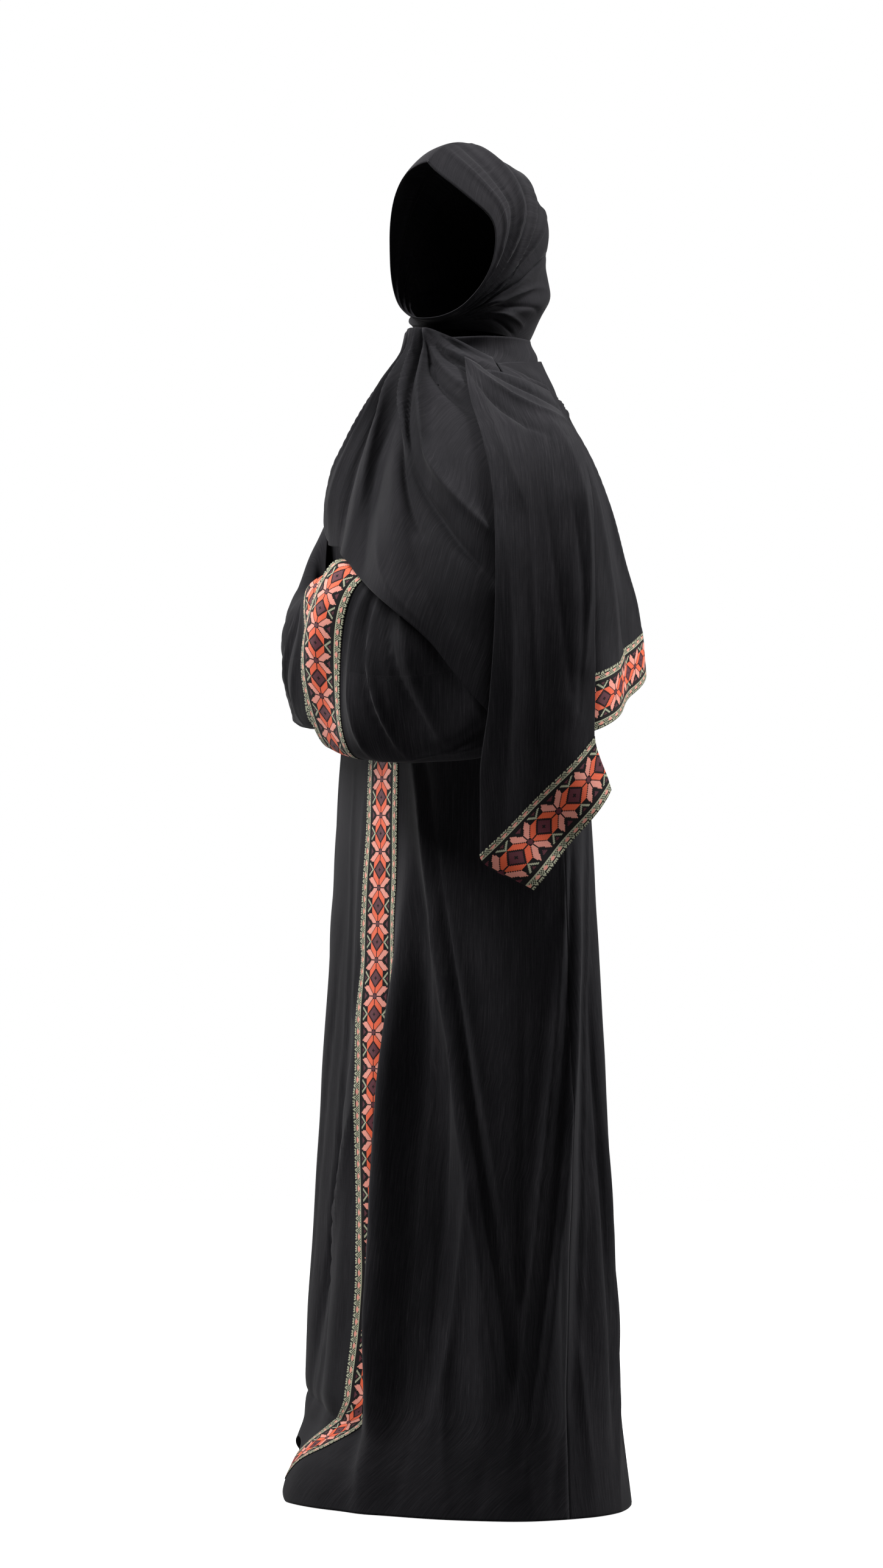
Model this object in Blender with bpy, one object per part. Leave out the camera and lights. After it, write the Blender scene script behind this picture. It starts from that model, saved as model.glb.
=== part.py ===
"""Prayer abaya with its matching head scarf, in the hollow shape it keeps while worn.

Metres, +Z up. The wearer faces -Y and the wearer's left is +X. The origin lies between
the shoulders, where the garment is carried. Heights in the tables are above the floor,
and angles run from the centre front (0) to the wearer's left (90) and the back (180).
"""
import bpy
import numpy as np

SHOULDER_HEIGHT = 1.352
CLOTH = 0.002
TRIM = 0.001
SEAM_GAP = 0.0004
BAND_WIDTH = 0.073


class Table:
    """Rows of numbers under named columns, read smoothly along the first column."""

    def __init__(self, columns, rows):
        self.columns = columns
        self.data = np.array(sorted(rows), dtype=float)

    def at(self, name, where):
        keys = self.data[:, 0]
        values = self.data[:, self.columns.index(name)]
        where = np.clip(np.asarray(where, dtype=float), keys[0], keys[-1])
        gaps = np.diff(keys)
        slopes = np.diff(values) / gaps
        tangents = np.zeros(len(keys))
        tangents[0], tangents[-1] = slopes[0], slopes[-1]
        same_way = slopes[:-1] * slopes[1:] > 0
        sums = np.where(same_way, slopes[:-1] + slopes[1:], 1.0)
        tangents[1:-1] = np.where(same_way, 2 * slopes[:-1] * slopes[1:] / sums, 0.0)
        index = np.clip(np.searchsorted(keys, where, side="right") - 1, 0, len(keys) - 2)
        t = (where - keys[index]) / gaps[index]
        start, end = values[index], values[index + 1]
        rise = gaps[index] * (tangents[index] * t * (1 - t) ** 2
                              - tangents[index + 1] * t * t * (1 - t))
        return start + (end - start) * t * t * (3 - 2 * t) + rise


# The torso and skirt: an oval ring at each height.
BODY = Table(
    ("height", "half_width", "half_depth", "centre_y"),
    (
        (0.000, 0.252, 0.186, 0.000),
        (0.050, 0.249, 0.178, 0.000),
        (0.130, 0.247, 0.166, 0.000),
        (0.200, 0.246, 0.157, 0.000),
        (0.430, 0.244, 0.137, 0.000),
        (0.650, 0.240, 0.121, 0.000),
        (0.900, 0.230, 0.112, 0.000),
        (1.050, 0.208, 0.110, -0.002),
        (1.150, 0.192, 0.114, -0.004),
        (1.230, 0.186, 0.112, -0.004),
        (1.290, 0.180, 0.102, 0.000),
        (1.320, 0.158, 0.092, 0.004),
        (1.340, 0.128, 0.084, 0.006),
        (1.360, 0.100, 0.076, 0.008),
        (1.378, 0.082, 0.070, 0.008),
    ),
)
POOL_HEIGHT = 0.130

# The long folds. Each has its angle high up and at the hem, its width and depth, the height
# where it starts and the height where it is full. A negative depth is a hollow.
FOLDS = (
    (15.5, 18.8, 5.4, 0.046, 0.87, 0.46),
    (6.0, 9.5, 5.0, -0.011, 0.84, 0.44),
    (14.0, 68.0, 8.0, 0.012, 1.05, 0.60),
    (6.0, 54.0, 8.0, -0.009, 0.95, 0.50),
    (106.0, 74.0, 9.0, 0.013, 0.95, 0.55),
    (92.0, 62.0, 6.0, -0.006, 0.80, 0.30),
    (118.0, 92.0, 7.0, -0.010, 0.95, 0.50),
    (132.0, 112.0, 9.0, 0.010, 0.95, 0.45),
    (150.0, 134.0, 8.0, -0.010, 1.05, 0.50),
    (166.0, 156.0, 9.0, 0.014, 1.10, 0.45),
    (186.0, 180.0, 9.0, -0.012, 1.10, 0.50),
    (204.0, 204.0, 9.0, 0.013, 1.10, 0.45),
    (222.0, 226.0, 8.0, -0.010, 1.00, 0.50),
    (240.0, 248.0, 9.0, 0.012, 0.95, 0.45),
    (262.0, 270.0, 8.0, -0.009, 0.90, 0.45),
    (284.0, 290.0, 9.0, 0.012, 0.95, 0.45),
    (304.0, 308.0, 7.0, -0.010, 0.95, 0.50),
    (322.0, 322.0, 8.0, 0.010, 1.00, 0.50),
    (340.0, 338.0, 6.0, -0.007, 0.95, 0.50),
    (350.0, 350.0, 5.0, 0.006, 0.95, 0.50),
)

# The front band drifts to the wearer's left on its way down, and is drawn in behind the first fold.
BAND_LINE = Table(
    ("height", "angle", "squeeze"),
    (
        (0.00, 8.6, 0.30), (0.13, 8.6, 0.36), (0.26, 8.4, 0.36), (0.32, 7.0, 0.32), (0.42, 3.8, 0.22),
        (0.52, 1.4, 0.08), (0.62, 0.0, 0.00), (1.378, 0.0, 0.00),
    ),
)

# The front hem is swept towards the wearer's right and lifted where it turns.
HEM_SWEEP = Table(
    ("angle", "turn", "lift"),
    (
        (-90.0, 0.0, 0.000), (-60.0, 2.0, 0.012), (-42.0, 5.0, 0.050), (-26.0, 9.0, 0.070),
        (-9.0, 18.0, 0.056), (0.0, 27.0, 0.040), (9.0, 36.0, 0.024), (16.0, 41.0, 0.008),
        (25.0, 42.0, 0.000), (36.0, 35.0, 0.000), (50.0, 22.0, 0.000), (70.0, 7.0, 0.000),
        (90.0, 0.0, 0.000),
    ),
)
POOL_REACH = Table(
    ("height", "reach"),
    ((0.000, 0.030), (0.020, 0.029), (0.045, 0.023), (0.070, 0.008), (0.095, -0.004), (0.130, 0.0)),
)


def bell(distance, width):
    return np.exp(-(distance / width) ** 2)


def ease(amount):
    amount = np.clip(amount, 0.0, 1.0)
    return amount * amount * (3 - 2 * amount)


def wrapped(angle):
    return (np.asarray(angle) + 180.0) % 360.0 - 180.0


def fold_relief(angle, height):
    relief = np.zeros(np.broadcast(angle, height).shape)
    for upper, hem, width, depth, start, full in FOLDS:
        share = np.clip(1.0 - height / 1.05, 0.0, 1.0)
        line = upper + (hem - upper) * share
        relief = relief + depth * bell(wrapped(angle - line), width) * ease((start - height) / (start - full))
    return relief * (0.10 + 0.90 * ease(height / 0.24))


def body_point(angle, height):
    """A point of the abaya's outer side, with its folds and the pool in front."""
    outward = fold_relief(angle, height)
    outward = outward + POOL_REACH.at("reach", height) * bell(wrapped(angle + 14.0), 30.0)
    turn = np.radians(angle)
    x = (BODY.at("half_width", height) + outward) * np.sin(turn)
    y = BODY.at("centre_y", height) - (BODY.at("half_depth", height) + outward) * np.cos(turn)
    return np.stack([x, y, np.broadcast_to(height, x.shape)], axis=-1)


def body_normal(angle, height):
    across = body_point(angle + 1.0, height) - body_point(angle - 1.0, height)
    up = body_point(angle, height + 0.003) - body_point(angle, height - 0.003)
    normal = np.cross(across, up)
    return normal / np.linalg.norm(normal, axis=-1, keepdims=True)


# Armholes: ovals on the side of the body surface.
ARMHOLE_HEIGHT = 1.172
ARMHOLE_RISE = 0.112
ARMHOLE_HALF_ANGLE = 31.0


def armhole_half_angle(height):
    inside = np.clip(1.0 - ((height - ARMHOLE_HEIGHT) / ARMHOLE_RISE) ** 2, 0.0, 1.0)
    return ARMHOLE_HALF_ANGLE * np.sqrt(inside)


BODY_HEIGHTS = (1.378, 1.360, 1.340, 1.318, 1.296, 1.284, 1.266, 1.235, 1.195, 1.150, 1.108, 1.078, 1.060,
                1.020, 0.950, 0.870, 0.780, 0.690, 0.620, 0.560, 0.500, 0.450, 0.405, 0.365, 0.325, 0.285,
                0.240, 0.200, 0.165, 0.130)
HEM_STEPS = (0.11, 0.22, 0.33, 0.44, 0.55, 0.66, 0.84, 1.00)
FRONT_ANGLES = (-90.0, -80.0, -70.0, -60.0, -51.0, -42.0, -34.0, -26.0, -19.0, -14.0, -9.0, -4.5, 0.0,
                4.5, 9.0, 10.8, 12.5, 14.2, 16.0, 18.0, 20.0, 22.5, 25.0, 28.0, 31.0, 38.0, 46.0,
                54.0, 62.0, 71.0, 80.0, 90.0)
BACK_ANGLES = tuple(90.0 + 7.5 * step for step in range(25))


def edge_angle(height):
    """How far from the centre line a panel reaches at a height: the side seam or armhole."""
    seam = np.degrees(SEAM_GAP / 2 / BODY.at("half_width", height))
    return 90.0 - seam - armhole_half_angle(height)


def front_place(column, row):
    """column is the cut's angle, row a height, or below the pool's top a negative hem step."""
    height = np.where(row >= 0, row, POOL_HEIGHT)
    step = np.where(row < 0, -row, 0.0)
    lift = HEM_SWEEP.at("lift", column)
    height = height + (lift - POOL_HEIGHT) * step
    turned = HEM_SWEEP.at("turn", column) * ease(step * 0.9) / ease(0.9)
    reach = edge_angle(np.where(row >= 0, row, POOL_HEIGHT)) / 90.0
    shift = BAND_LINE.at("angle", height) * bell(column, 42.0)
    squeezed = column * (1 - BAND_LINE.at("squeeze", height) * bell(column, 13.0) * (1 - step))
    return squeezed * reach + shift * (1 - np.abs(column) / 90.0) - turned, height


def back_place(column, row):
    height = np.where(row >= 0, row, POOL_HEIGHT * (1.0 + row))
    reach = edge_angle(np.maximum(height, 0.0)) / 90.0
    return 180.0 + (column - 180.0) * reach, height


# The sleeves: upright ovals along the bent arm, in plan for the wearer's left.
SLEEVE_COLUMNS = ("station", "x", "y", "top", "bottom", "half_thickness", "heading")
LEFT_SLEEVE = Table(
    SLEEVE_COLUMNS,
    (
        (0.00, 0.216, -0.004, 1.282, 1.062, 0.056, 0.0),
        (0.10, 0.231, -0.013, 1.268, 1.036, 0.050, -20.0),
        (0.22, 0.248, -0.036, 1.238, 0.968, 0.043, -46.0),
        (0.36, 0.250, -0.072, 1.175, 0.918, 0.040, -82.0),
        (0.50, 0.224, -0.118, 1.118, 0.899, 0.040, -124.0),
        (0.64, 0.160, -0.162, 1.100, 0.895, 0.038, -150.0),
        (0.78, 0.092, -0.187, 1.112, 0.899, 0.036, -168.0),
        (0.90, 0.046, -0.190, 1.128, 0.905, 0.036, -180.0),
        (1.00, 0.008, -0.186, 1.139, 0.913, 0.035, -186.0),
    ),
)
RIGHT_SLEEVE = Table(
    SLEEVE_COLUMNS,
    (
        (0.00, 0.216, -0.004, 1.282, 1.062, 0.056, 0.0),
        (0.10, 0.230, -0.013, 1.268, 1.036, 0.049, -20.0),
        (0.22, 0.246, -0.038, 1.236, 0.980, 0.037, -44.0),
        (0.36, 0.243, -0.070, 1.170, 0.950, 0.032, -80.0),
        (0.50, 0.210, -0.102, 1.118, 0.940, 0.031, -124.0),
        (0.64, 0.152, -0.124, 1.104, 0.938, 0.032, -150.0),
        (0.78, 0.100, -0.145, 1.112, 0.938, 0.029, -168.0),
        (0.90, 0.054, -0.150, 1.122, 0.941, 0.027, -178.0),
        (1.00, 0.012, -0.150, 1.132, 0.946, 0.027, -182.0),
    ),
)
SLEEVE_STEPS = 11
CUFF_STEPS = 2
SLEEVE_STANDOFF = 0.0018


def sleeve_stations(table):
    """Ring places along a sleeve, with its last rings a band's width from the edge."""
    fine = np.linspace(0.0, 1.0, 201)
    steps = np.hypot(np.diff(table.at("x", fine)), np.diff(table.at("y", fine)))
    to_edge = steps.sum() - np.concatenate([[0.0], np.cumsum(steps)])
    cuff_start = np.interp(-BAND_WIDTH, -to_edge, fine)
    arm = np.linspace(0.0, cuff_start, SLEEVE_STEPS)
    return tuple(arm) + tuple(np.linspace(cuff_start, 1.0, CUFF_STEPS + 1)[1:])


def sleeve_point(table, side, turn, station):
    """side is +1 for the wearer's left; turn goes round the ring, 90 at its top."""
    angle = np.radians(turn)
    top = table.at("top", station)
    bottom = table.at("bottom", station)
    heading = np.radians(table.at("heading", station))
    across = table.at("half_thickness", station) * np.sign(np.cos(angle)) * np.abs(np.cos(angle)) ** 0.8
    lift = np.sin(angle)
    across = across + 0.006 * np.cos(angle) * np.sin(station * 21.0 + lift * 2.2) * ease((station - 0.2) / 0.2)
    x = table.at("x", station) + across * np.sin(-heading)
    y = table.at("y", station) + across * np.cos(heading)
    advance = 0.028 * ease((station - 0.6) / 0.3) * (lift ** 2)
    x = x - advance * np.cos(heading) * (0.6 + 0.4 * lift)
    y = y - advance * np.sin(heading) * (0.6 + 0.4 * lift)
    height = (top + bottom) / 2 + (top - bottom) / 2 * lift
    free = np.stack([x, y, height], axis=-1)
    root_height = ARMHOLE_HEIGHT + (ARMHOLE_RISE + 0.004) * lift
    root_angle = 90.0 + (ARMHOLE_HALF_ANGLE + 2.0) * np.cos(angle)
    root = body_point(root_angle, root_height) + body_normal(root_angle, root_height) * SLEEVE_STANDOFF
    blend = (np.clip(1.0 - station / 0.10, 0.0, 1.0) ** 2)[..., None]
    point = root * blend + free * (1 - blend)
    return point * np.array([side, 1.0, 1.0])


# The scarf lies on this form: its radius at each height, a column for each angle.
DRAPE_ANGLES = (-100, -60, -20, 0, 20, 45, 65, 90, 110, 135, 155, 185, 215)
DRAPE = Table(
    ("height",) + DRAPE_ANGLES,
    (
        (1.430, .080, .072, .068, .073, .078, .078, .076, .078, .084, .090, .096, .110, .112),
        (1.400, .092, .080, .074, .079, .085, .086, .084, .086, .090, .094, .096, .104, .108),
        (1.375, .110, .094, .086, .093, .100, .104, .104, .106, .104, .102, .102, .106, .108),
        (1.350, .142, .118, .101, .108, .117, .128, .136, .142, .128, .112, .112, .112, .120),
        (1.320, .184, .144, .114, .120, .132, .150, .168, .178, .153, .126, .122, .121, .140),
        (1.290, .212, .158, .129, .136, .148, .176, .204, .224, .178, .140, .132, .130, .158),
        (1.250, .238, .172, .150, .154, .168, .206, .242, .264, .204, .154, .146, .142, .176),
        (1.200, .262, .180, .165, .168, .188, .236, .272, .290, .226, .174, .163, .152, .190),
        (1.140, .275, .184, .165, .176, .216, .268, .296, .304, .242, .193, .182, .162, .20),
        (1.080, .280, .190, .168, .190, .248, .288, .309, .312, .256, .210, .201, .170, .20),
        (1.000, .285, .190, .170, .200, .262, .296, .315, .315, .262, .224, .220, .180, .20),
        (0.900, .285, .190, .170, .200, .262, .298, .316, .316, .266, .230, .226, .180, .20),
        (0.740, .285, .190, .170, .200, .262, .298, .314, .312, .266, .230, .226, .180, .20),
    ),
)


def drape_radius(angle, height):
    """The radius of the drape form, read between its columns."""
    columns = np.array(DRAPE_ANGLES, dtype=float)
    angle = np.clip(angle, columns[0], columns[-1])
    index = np.clip(np.searchsorted(columns, angle, side="right") - 1, 0, len(columns) - 2)
    radii = np.stack([DRAPE.at(name, height) for name in DRAPE_ANGLES], axis=-1)
    share = ease((angle - columns[index]) / (columns[index + 1] - columns[index]))
    low = np.take_along_axis(radii, index[..., None], -1)[..., 0]
    high = np.take_along_axis(radii, index[..., None] + 1, -1)[..., 0]
    plain = (angle - columns[index]) / (columns[index + 1] - columns[index])
    mixed = 0.5 * (share + plain)
    return low + (high - low) * mixed


def round_axis(angle, radius, height):
    turn = np.radians(angle)
    return np.stack([radius * np.sin(turn), -radius * np.cos(turn), height + 0 * radius], axis=-1)


# The hood: rings turned about a line under the chin, from the face to the neck.
HEAD_TURN = 25.0
HOOD = Table(
    ("tilt", "reach", "half_width", "throat"),
    (
        (0.0, 0.199, 0.079, 0.010),
        (8.0, 0.223, 0.082, 0.008),
        (18.0, 0.240, 0.084, 0.008),
        (30.0, 0.243, 0.085, 0.008),
        (45.0, 0.230, 0.085, 0.009),
        (60.0, 0.207, 0.083, 0.010),
        (75.0, 0.184, 0.080, 0.011),
        (88.0, 0.162, 0.072, 0.012),
        (100.0, 0.144, 0.066, 0.014),
    ),
)
HOOD_TILTS = (0.0, 6.0, 13.0, 21.0, 30.0, 39.0, 48.0, 57.0, 66.0, 75.0, 84.0, 92.0, 100.0)
HOOD_PIVOT_FORWARD = 0.060
HOOD_PIVOT_HEIGHT = 1.424
HOOD_FOLDS = ((22.0, 3.5, 0.003), (34.0, 4.0, -0.003), (47.0, 4.5, 0.004), (61.0, 5.0, -0.003),
              (74.0, 5.0, 0.004))


# Over the temple the rim runs slantwise, more on the wearer's left than on the right.
RIM_SLANT_LEFT = 1.7
RIM_SLANT_RIGHT = 0.25
RIM_SET_BACK = 0.030


def hood_point(turn, tilt):
    angle = np.radians(turn)
    lean = np.radians(tilt)
    up = np.sin(angle)
    reach = HOOD.at("reach", tilt)
    throat = HOOD.at("throat", tilt)
    crease = sum(depth * bell(tilt - line, width) for line, width, depth in HOOD_FOLDS)
    rim = (1 - ease(tilt / 36.0)) * ease(np.maximum(up, 0.0) / 0.5)
    slant = np.where(np.cos(angle) > 0, RIM_SLANT_LEFT, RIM_SLANT_RIGHT) * rim
    across = np.maximum(np.abs(np.cos(angle)), 1e-9)
    sideways = np.sign(np.cos(angle)) * across ** (0.86 + slant)
    out = (reach + throat) / 2 + (reach - throat) / 2 * up + crease * np.maximum(up + 0.6, 0.0) * 0.6
    lateral = (HOOD.at("half_width", tilt) + crease) * sideways
    forward = HOOD_PIVOT_FORWARD - out * np.sin(lean)
    set_back = RIM_SET_BACK * across ** (2 + 2.4 * slant) * (1 - ease(tilt / 60.0))
    forward = forward - set_back + 0.014 * (1 - ease(tilt / 30.0))
    height = HOOD_PIVOT_HEIGHT + out * np.cos(lean)
    yaw = np.radians(HEAD_TURN)
    x = forward * np.sin(yaw) + lateral * np.cos(yaw)
    y = -forward * np.cos(yaw) + lateral * np.sin(yaw)
    return np.stack([x, y, height], axis=-1)


WRAP_INSET = 0.0085
WRAP_TOP = Table(
    ("angle", "height"),
    (
        (-155.0, 1.406), (-110.0, 1.408), (-60.0, 1.412), (25.0, 1.408), (90.0, 1.412), (155.0, 1.410),
        (205.0, 1.406),
    ),
)
WRAP_STEPS = (0.0, 0.2, 0.4, 0.6, 0.8, 1.0)
# Where the turn rests on the abaya (inwards) and carries the sheet (outwards): angle, width, push.
WRAP_RESTS = ((130.0, 12.0, -0.0016), (42.0, 11.0, 0.0022))
WRAP_UNDER_HOOD = 0.0036


def wrap_point(angle, step):
    """The turn round the neck; step 0 is its upper edge and 1 its lower edge."""
    top = WRAP_TOP.at("height", np.where(angle > 205.0, angle - 360.0, angle))
    low = 1.347 + 0.003 * np.sin(np.radians(angle * 3))
    height = top + (low - top) * step
    looked_up = np.where(angle > 215.0, angle - 360.0, angle)
    near = drape_radius(np.maximum(looked_up, -100.0), height)
    far = drape_radius(np.full_like(looked_up, 215.0), height)
    past = ease((-100.0 - looked_up) / 45.0)
    radius = near + (far - near) * past - WRAP_INSET
    radius = radius + 0.002 * np.sin(np.radians(angle * 2) + step * 9.0)
    for place, width, push in WRAP_RESTS:
        radius = radius + push * bell(angle - place, width)
    radius = radius - WRAP_UNDER_HOOD * bell(angle - 165.0, 16.0) * (1 - step) ** 2
    return round_axis(angle, radius, height)


# The sheet over the chest: its lower edge, which is the scarf's long edge.
CHEST_EDGE = Table(
    ("angle", "height"),
    (
        (-98.0, 1.352), (-80.0, 1.318), (-60.0, 1.255), (-40.0, 1.196), (-20.0, 1.164), (-8.0, 1.158),
        (6.0, 1.152), (18.0, 1.142), (28.0, 1.119), (40.0, 1.086), (52.0, 1.038), (58.0, 0.999),
        (65.0, 0.955), (75.0, 0.905), (82.0, 0.880),
    ),
)
CHEST_TOP = Table(
    ("angle", "height"),
    ((-98.0, 1.386), (-60.0, 1.410), (-30.0, 1.420), (0.0, 1.424), (25.0, 1.422), (50.0, 1.410), (82.0, 1.386)),
)
CHEST_ANGLES = (-98.0, -86.0, -74.0, -62.0, -50.0, -38.0, -27.0, -17.0, -8.0, 0.0, 8.0, 16.0, 24.0, 32.0,
                40.0, 48.0, 56.0, 63.0, 70.0, 76.0, 82.0)
CHEST_STEPS = (0.0, 0.06, 0.13, 0.21, 0.30, 0.39, 0.48, 0.57, 0.66, 0.75, 0.84, 0.92, 1.0)
CHEST_FOLDS = ((-14.0, -10.0, 5.0, 0.009), (-4.0, 4.0, 4.0, -0.008), (6.0, 19.0, 4.5, 0.011),
               (15.0, 32.0, 4.5, -0.009), (27.0, 46.0, 5.0, 0.009), (38.0, 58.0, 5.0, -0.004))


def chest_point(angle, step):
    top = CHEST_TOP.at("height", angle)
    height = top + (CHEST_EDGE.at("height", angle) - top) * step
    relief = 0.0
    for upper, lower, width, depth in CHEST_FOLDS:
        line = upper + (lower - upper) * step
        relief = relief + depth * bell(angle - line, width) * ease(step / 0.45) * (1 - 0.6 * step)
    return round_axis(angle, drape_radius(angle, height) + relief, height)


END_COLUMNS = ("step", "left_angle", "left_height", "right_angle", "right_height", "stand_off")
NEAR_END = Table(
    END_COLUMNS,
    (
        (0.00, 61.0, 1.384, 106.0, 1.342, 0.0080),
        (0.10, 62.0, 1.346, 102.0, 1.324, 0.0120),
        (0.22, 65.5, 1.280, 97.0, 1.300, 0.013),
        (0.36, 67.0, 1.200, 91.0, 1.215, 0.0112),
        (0.52, 66.5, 1.090, 88.5, 1.110, 0.013),
        (0.68, 65.0, 0.965, 88.0, 1.030, 0.015),
        (0.80, 63.2, 0.875, 88.0, 0.975, 0.015),
        (0.905, 63.2, 0.788, 87.5, 0.926, 0.018),
        (1.00, 74.0, 0.7465, 91.3, 0.863, 0.020),
    ),
)
FAR_END = Table(
    END_COLUMNS,
    (
        (0.00, 84.0, 1.378, 208.0, 1.392, -0.0030),
        (0.12, 84.0, 1.350, 198.0, 1.352, 0.0),
        (0.28, 84.0, 1.275, 183.0, 1.285, 0.0),
        (0.45, 84.5, 1.190, 171.0, 1.222, 0.0),
        (0.65, 85.0, 1.090, 161.0, 1.166, 0.0),
        (0.85, 86.0, 0.995, 153.0, 1.108, 0.0),
        (1.00, 87.5, 0.930, 150.0, 1.055, 0.0),
    ),
)
NEAR_STEPS = (0.0, 0.05, 0.11, 0.18, 0.26, 0.35, 0.44, 0.54, 0.64, 0.74, 0.83, 0.905, 0.952, 1.0)
FAR_STEPS = (0.0, 0.06, 0.12, 0.20, 0.28, 0.37, 0.46, 0.56, 0.66, 0.76, 0.85, 0.925, 1.0)
END_ACROSS = tuple(column / 8 for column in range(9))
FAR_ACROSS = tuple(column / 12 for column in range(13))
END_BAND_STEPS = 3


def end_point(table, waves, across, step):
    left = table.at("left_angle", step)
    right = table.at("right_angle", step)
    angle = left + (right - left) * across
    low = table.at("left_height", step)
    high = table.at("right_height", step)
    height = low + (high - low) * across
    radius = drape_radius(angle, height) + table.at("stand_off", step)
    radius = radius + 0.004 * np.sin(np.pi * waves * across + 0.6) * ease(step / 0.4)
    return round_axis(angle, radius, height)


def normals(point, columns, rows, closed, flip):
    """Outward directions of a surface, from small steps along its two parameters."""
    small_column = 0.002 * (columns.max() - columns.min())
    small_row = 0.002 * (rows.max() - rows.min())
    low_row = rows.min()
    high_row = rows.max()
    low_column = columns.min()
    high_column = columns.max()
    if closed:
        ahead, behind = columns + small_column, columns - small_column
    else:
        ahead = np.minimum(columns + small_column, high_column)
        behind = np.maximum(columns - small_column, low_column)
    across = point(ahead, rows) - point(behind, rows)
    down = point(columns, np.minimum(rows + small_row, high_row))
    down = down - point(columns, np.maximum(rows - small_row, low_row))
    normal = np.cross(across, down) * flip
    return normal / np.linalg.norm(normal, axis=-1, keepdims=True)


class Surface:
    """Outer points and outward directions of one cut piece, on a grid."""

    def __init__(self, point, columns, rows, closed=False, flip=1.0, place=None):
        grid_rows, grid_columns = np.meshgrid(np.array(rows, float), np.array(columns, float), indexing="ij")
        if place:
            grid_columns, grid_rows = place(grid_columns, grid_rows)
        self.points = point(grid_columns, grid_rows)
        self.normals = normals(point, grid_columns, grid_rows, closed, flip)
        self.closed = closed

    def part(self, rows, columns):
        """The same points over fewer rows and columns."""
        piece = Surface.__new__(Surface)
        piece.points = self.points[rows, columns].copy()
        piece.normals = self.normals[rows, columns]
        piece.closed = self.closed and columns == slice(None)
        return piece

    def draw_in(self, edge, beside, distance):
        """Moves an edge column towards the one beside it, to leave room for a seam."""
        inward = self.points[:, beside] - self.points[:, edge]
        inward = inward / np.linalg.norm(inward, axis=-1, keepdims=True)
        self.points[:, edge] += inward * distance


def halved(quad):
    """Always cut along the same diagonal, so that the two sides of a seam stay parallel."""
    return [quad[0], quad[1], quad[2]], [quad[0], quad[2], quad[3]]


def wall(name, surface, colour, outer=0.0, inner=-CLOTH, roughness=0.8):
    """A closed wall between two offsets of a surface, as one object."""
    rows, columns = surface.points.shape[:2]
    lift = np.array([0.0, 0.0, -SHOULDER_HEIGHT])
    sides = [surface.points + surface.normals * outer + lift, surface.points + surface.normals * inner + lift]
    vertices = np.concatenate([side.reshape(-1, 3) for side in sides])
    count = rows * columns
    faces = []

    def corner(row, column, side):
        return side * count + row * columns + column % columns

    steps = columns if surface.closed else columns - 1
    for row in range(rows - 1):
        for column in range(steps):
            quad = [corner(row, column, 0), corner(row, column + 1, 0),
                    corner(row + 1, column + 1, 0), corner(row + 1, column, 0)]
            for triangle in halved(quad):
                faces.append(triangle)
                faces.append([index + count for index in reversed(triangle)])
    for column in range(steps):
        for row, order in ((0, 1), (rows - 1, -1)):
            rim = [corner(row, column, 0), corner(row, column, 1),
                   corner(row, column + 1, 1), corner(row, column + 1, 0)]
            faces.extend(triangle[::order] for triangle in halved(rim))
    if not surface.closed:
        for row in range(rows - 1):
            for column, order in ((0, -1), (columns - 1, 1)):
                rim = [corner(row, column, 0), corner(row, column, 1),
                       corner(row + 1, column, 1), corner(row + 1, column, 0)]
                faces.extend(triangle[::order] for triangle in halved(rim))
    mesh = bpy.data.meshes.new(name)
    mesh.from_pydata(vertices.tolist(), [], faces)
    mesh.update()
    if signed_volume(mesh) < 0:
        mesh.flip_normals()
    mesh.shade_smooth()
    mesh.set_sharp_from_angle(angle=np.radians(50))
    mesh.materials.append(material(name, colour, roughness))
    thing = bpy.data.objects.new(name, mesh)
    COLLECTION.objects.link(thing)
    return thing


def signed_volume(mesh):
    total = 0.0
    for face in mesh.polygons:
        corners = [mesh.vertices[index].co for index in face.vertices]
        for second, third in zip(corners[1:-1], corners[2:]):
            total += corners[0].dot(second.cross(third))
    return total


def material(name, colour, roughness):
    made = bpy.data.materials.new(name)
    made.use_nodes = True
    shader = made.node_tree.nodes["Principled BSDF"]
    shader.inputs["Base Color"].default_value = (*colour, 1.0)
    shader.inputs["Roughness"].default_value = roughness
    shader.inputs["Metallic"].default_value = 0.0
    return made


BLACK_CREPE = (0.012, 0.012, 0.014)
STITCHED = (0.62, 0.11, 0.06)

for old in list(bpy.data.objects):
    bpy.data.objects.remove(old, do_unlink=True)
COLLECTION = bpy.data.collections.new("prayer_abaya")
bpy.context.scene.collection.children.link(COLLECTION)


def build_abaya():
    rows = BODY_HEIGHTS + tuple(-step for step in HEM_STEPS)
    front = Surface(body_point, FRONT_ANGLES, rows, place=front_place)
    centre = FRONT_ANGLES.index(0.0)
    right_half = front.part(slice(None), slice(0, centre + 1))
    right_half.draw_in(-1, -2, SEAM_GAP / 2)
    wall("front_right", right_half, BLACK_CREPE)
    left_half = front.part(slice(None), slice(centre, None))
    left_half.draw_in(0, 1, SEAM_GAP / 2)
    wall("front_left", left_half, BLACK_CREPE)
    back = Surface(body_point, BACK_ANGLES, rows, place=back_place)
    wall("back", back, BLACK_CREPE)
    band_from = FRONT_ANGLES.index(-9.0)
    band_to = FRONT_ANGLES.index(9.0)
    band = front.part(slice(None), slice(band_from, band_to + 1))
    wall("centre_front_band", band, STITCHED, SEAM_GAP + TRIM, SEAM_GAP)


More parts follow.
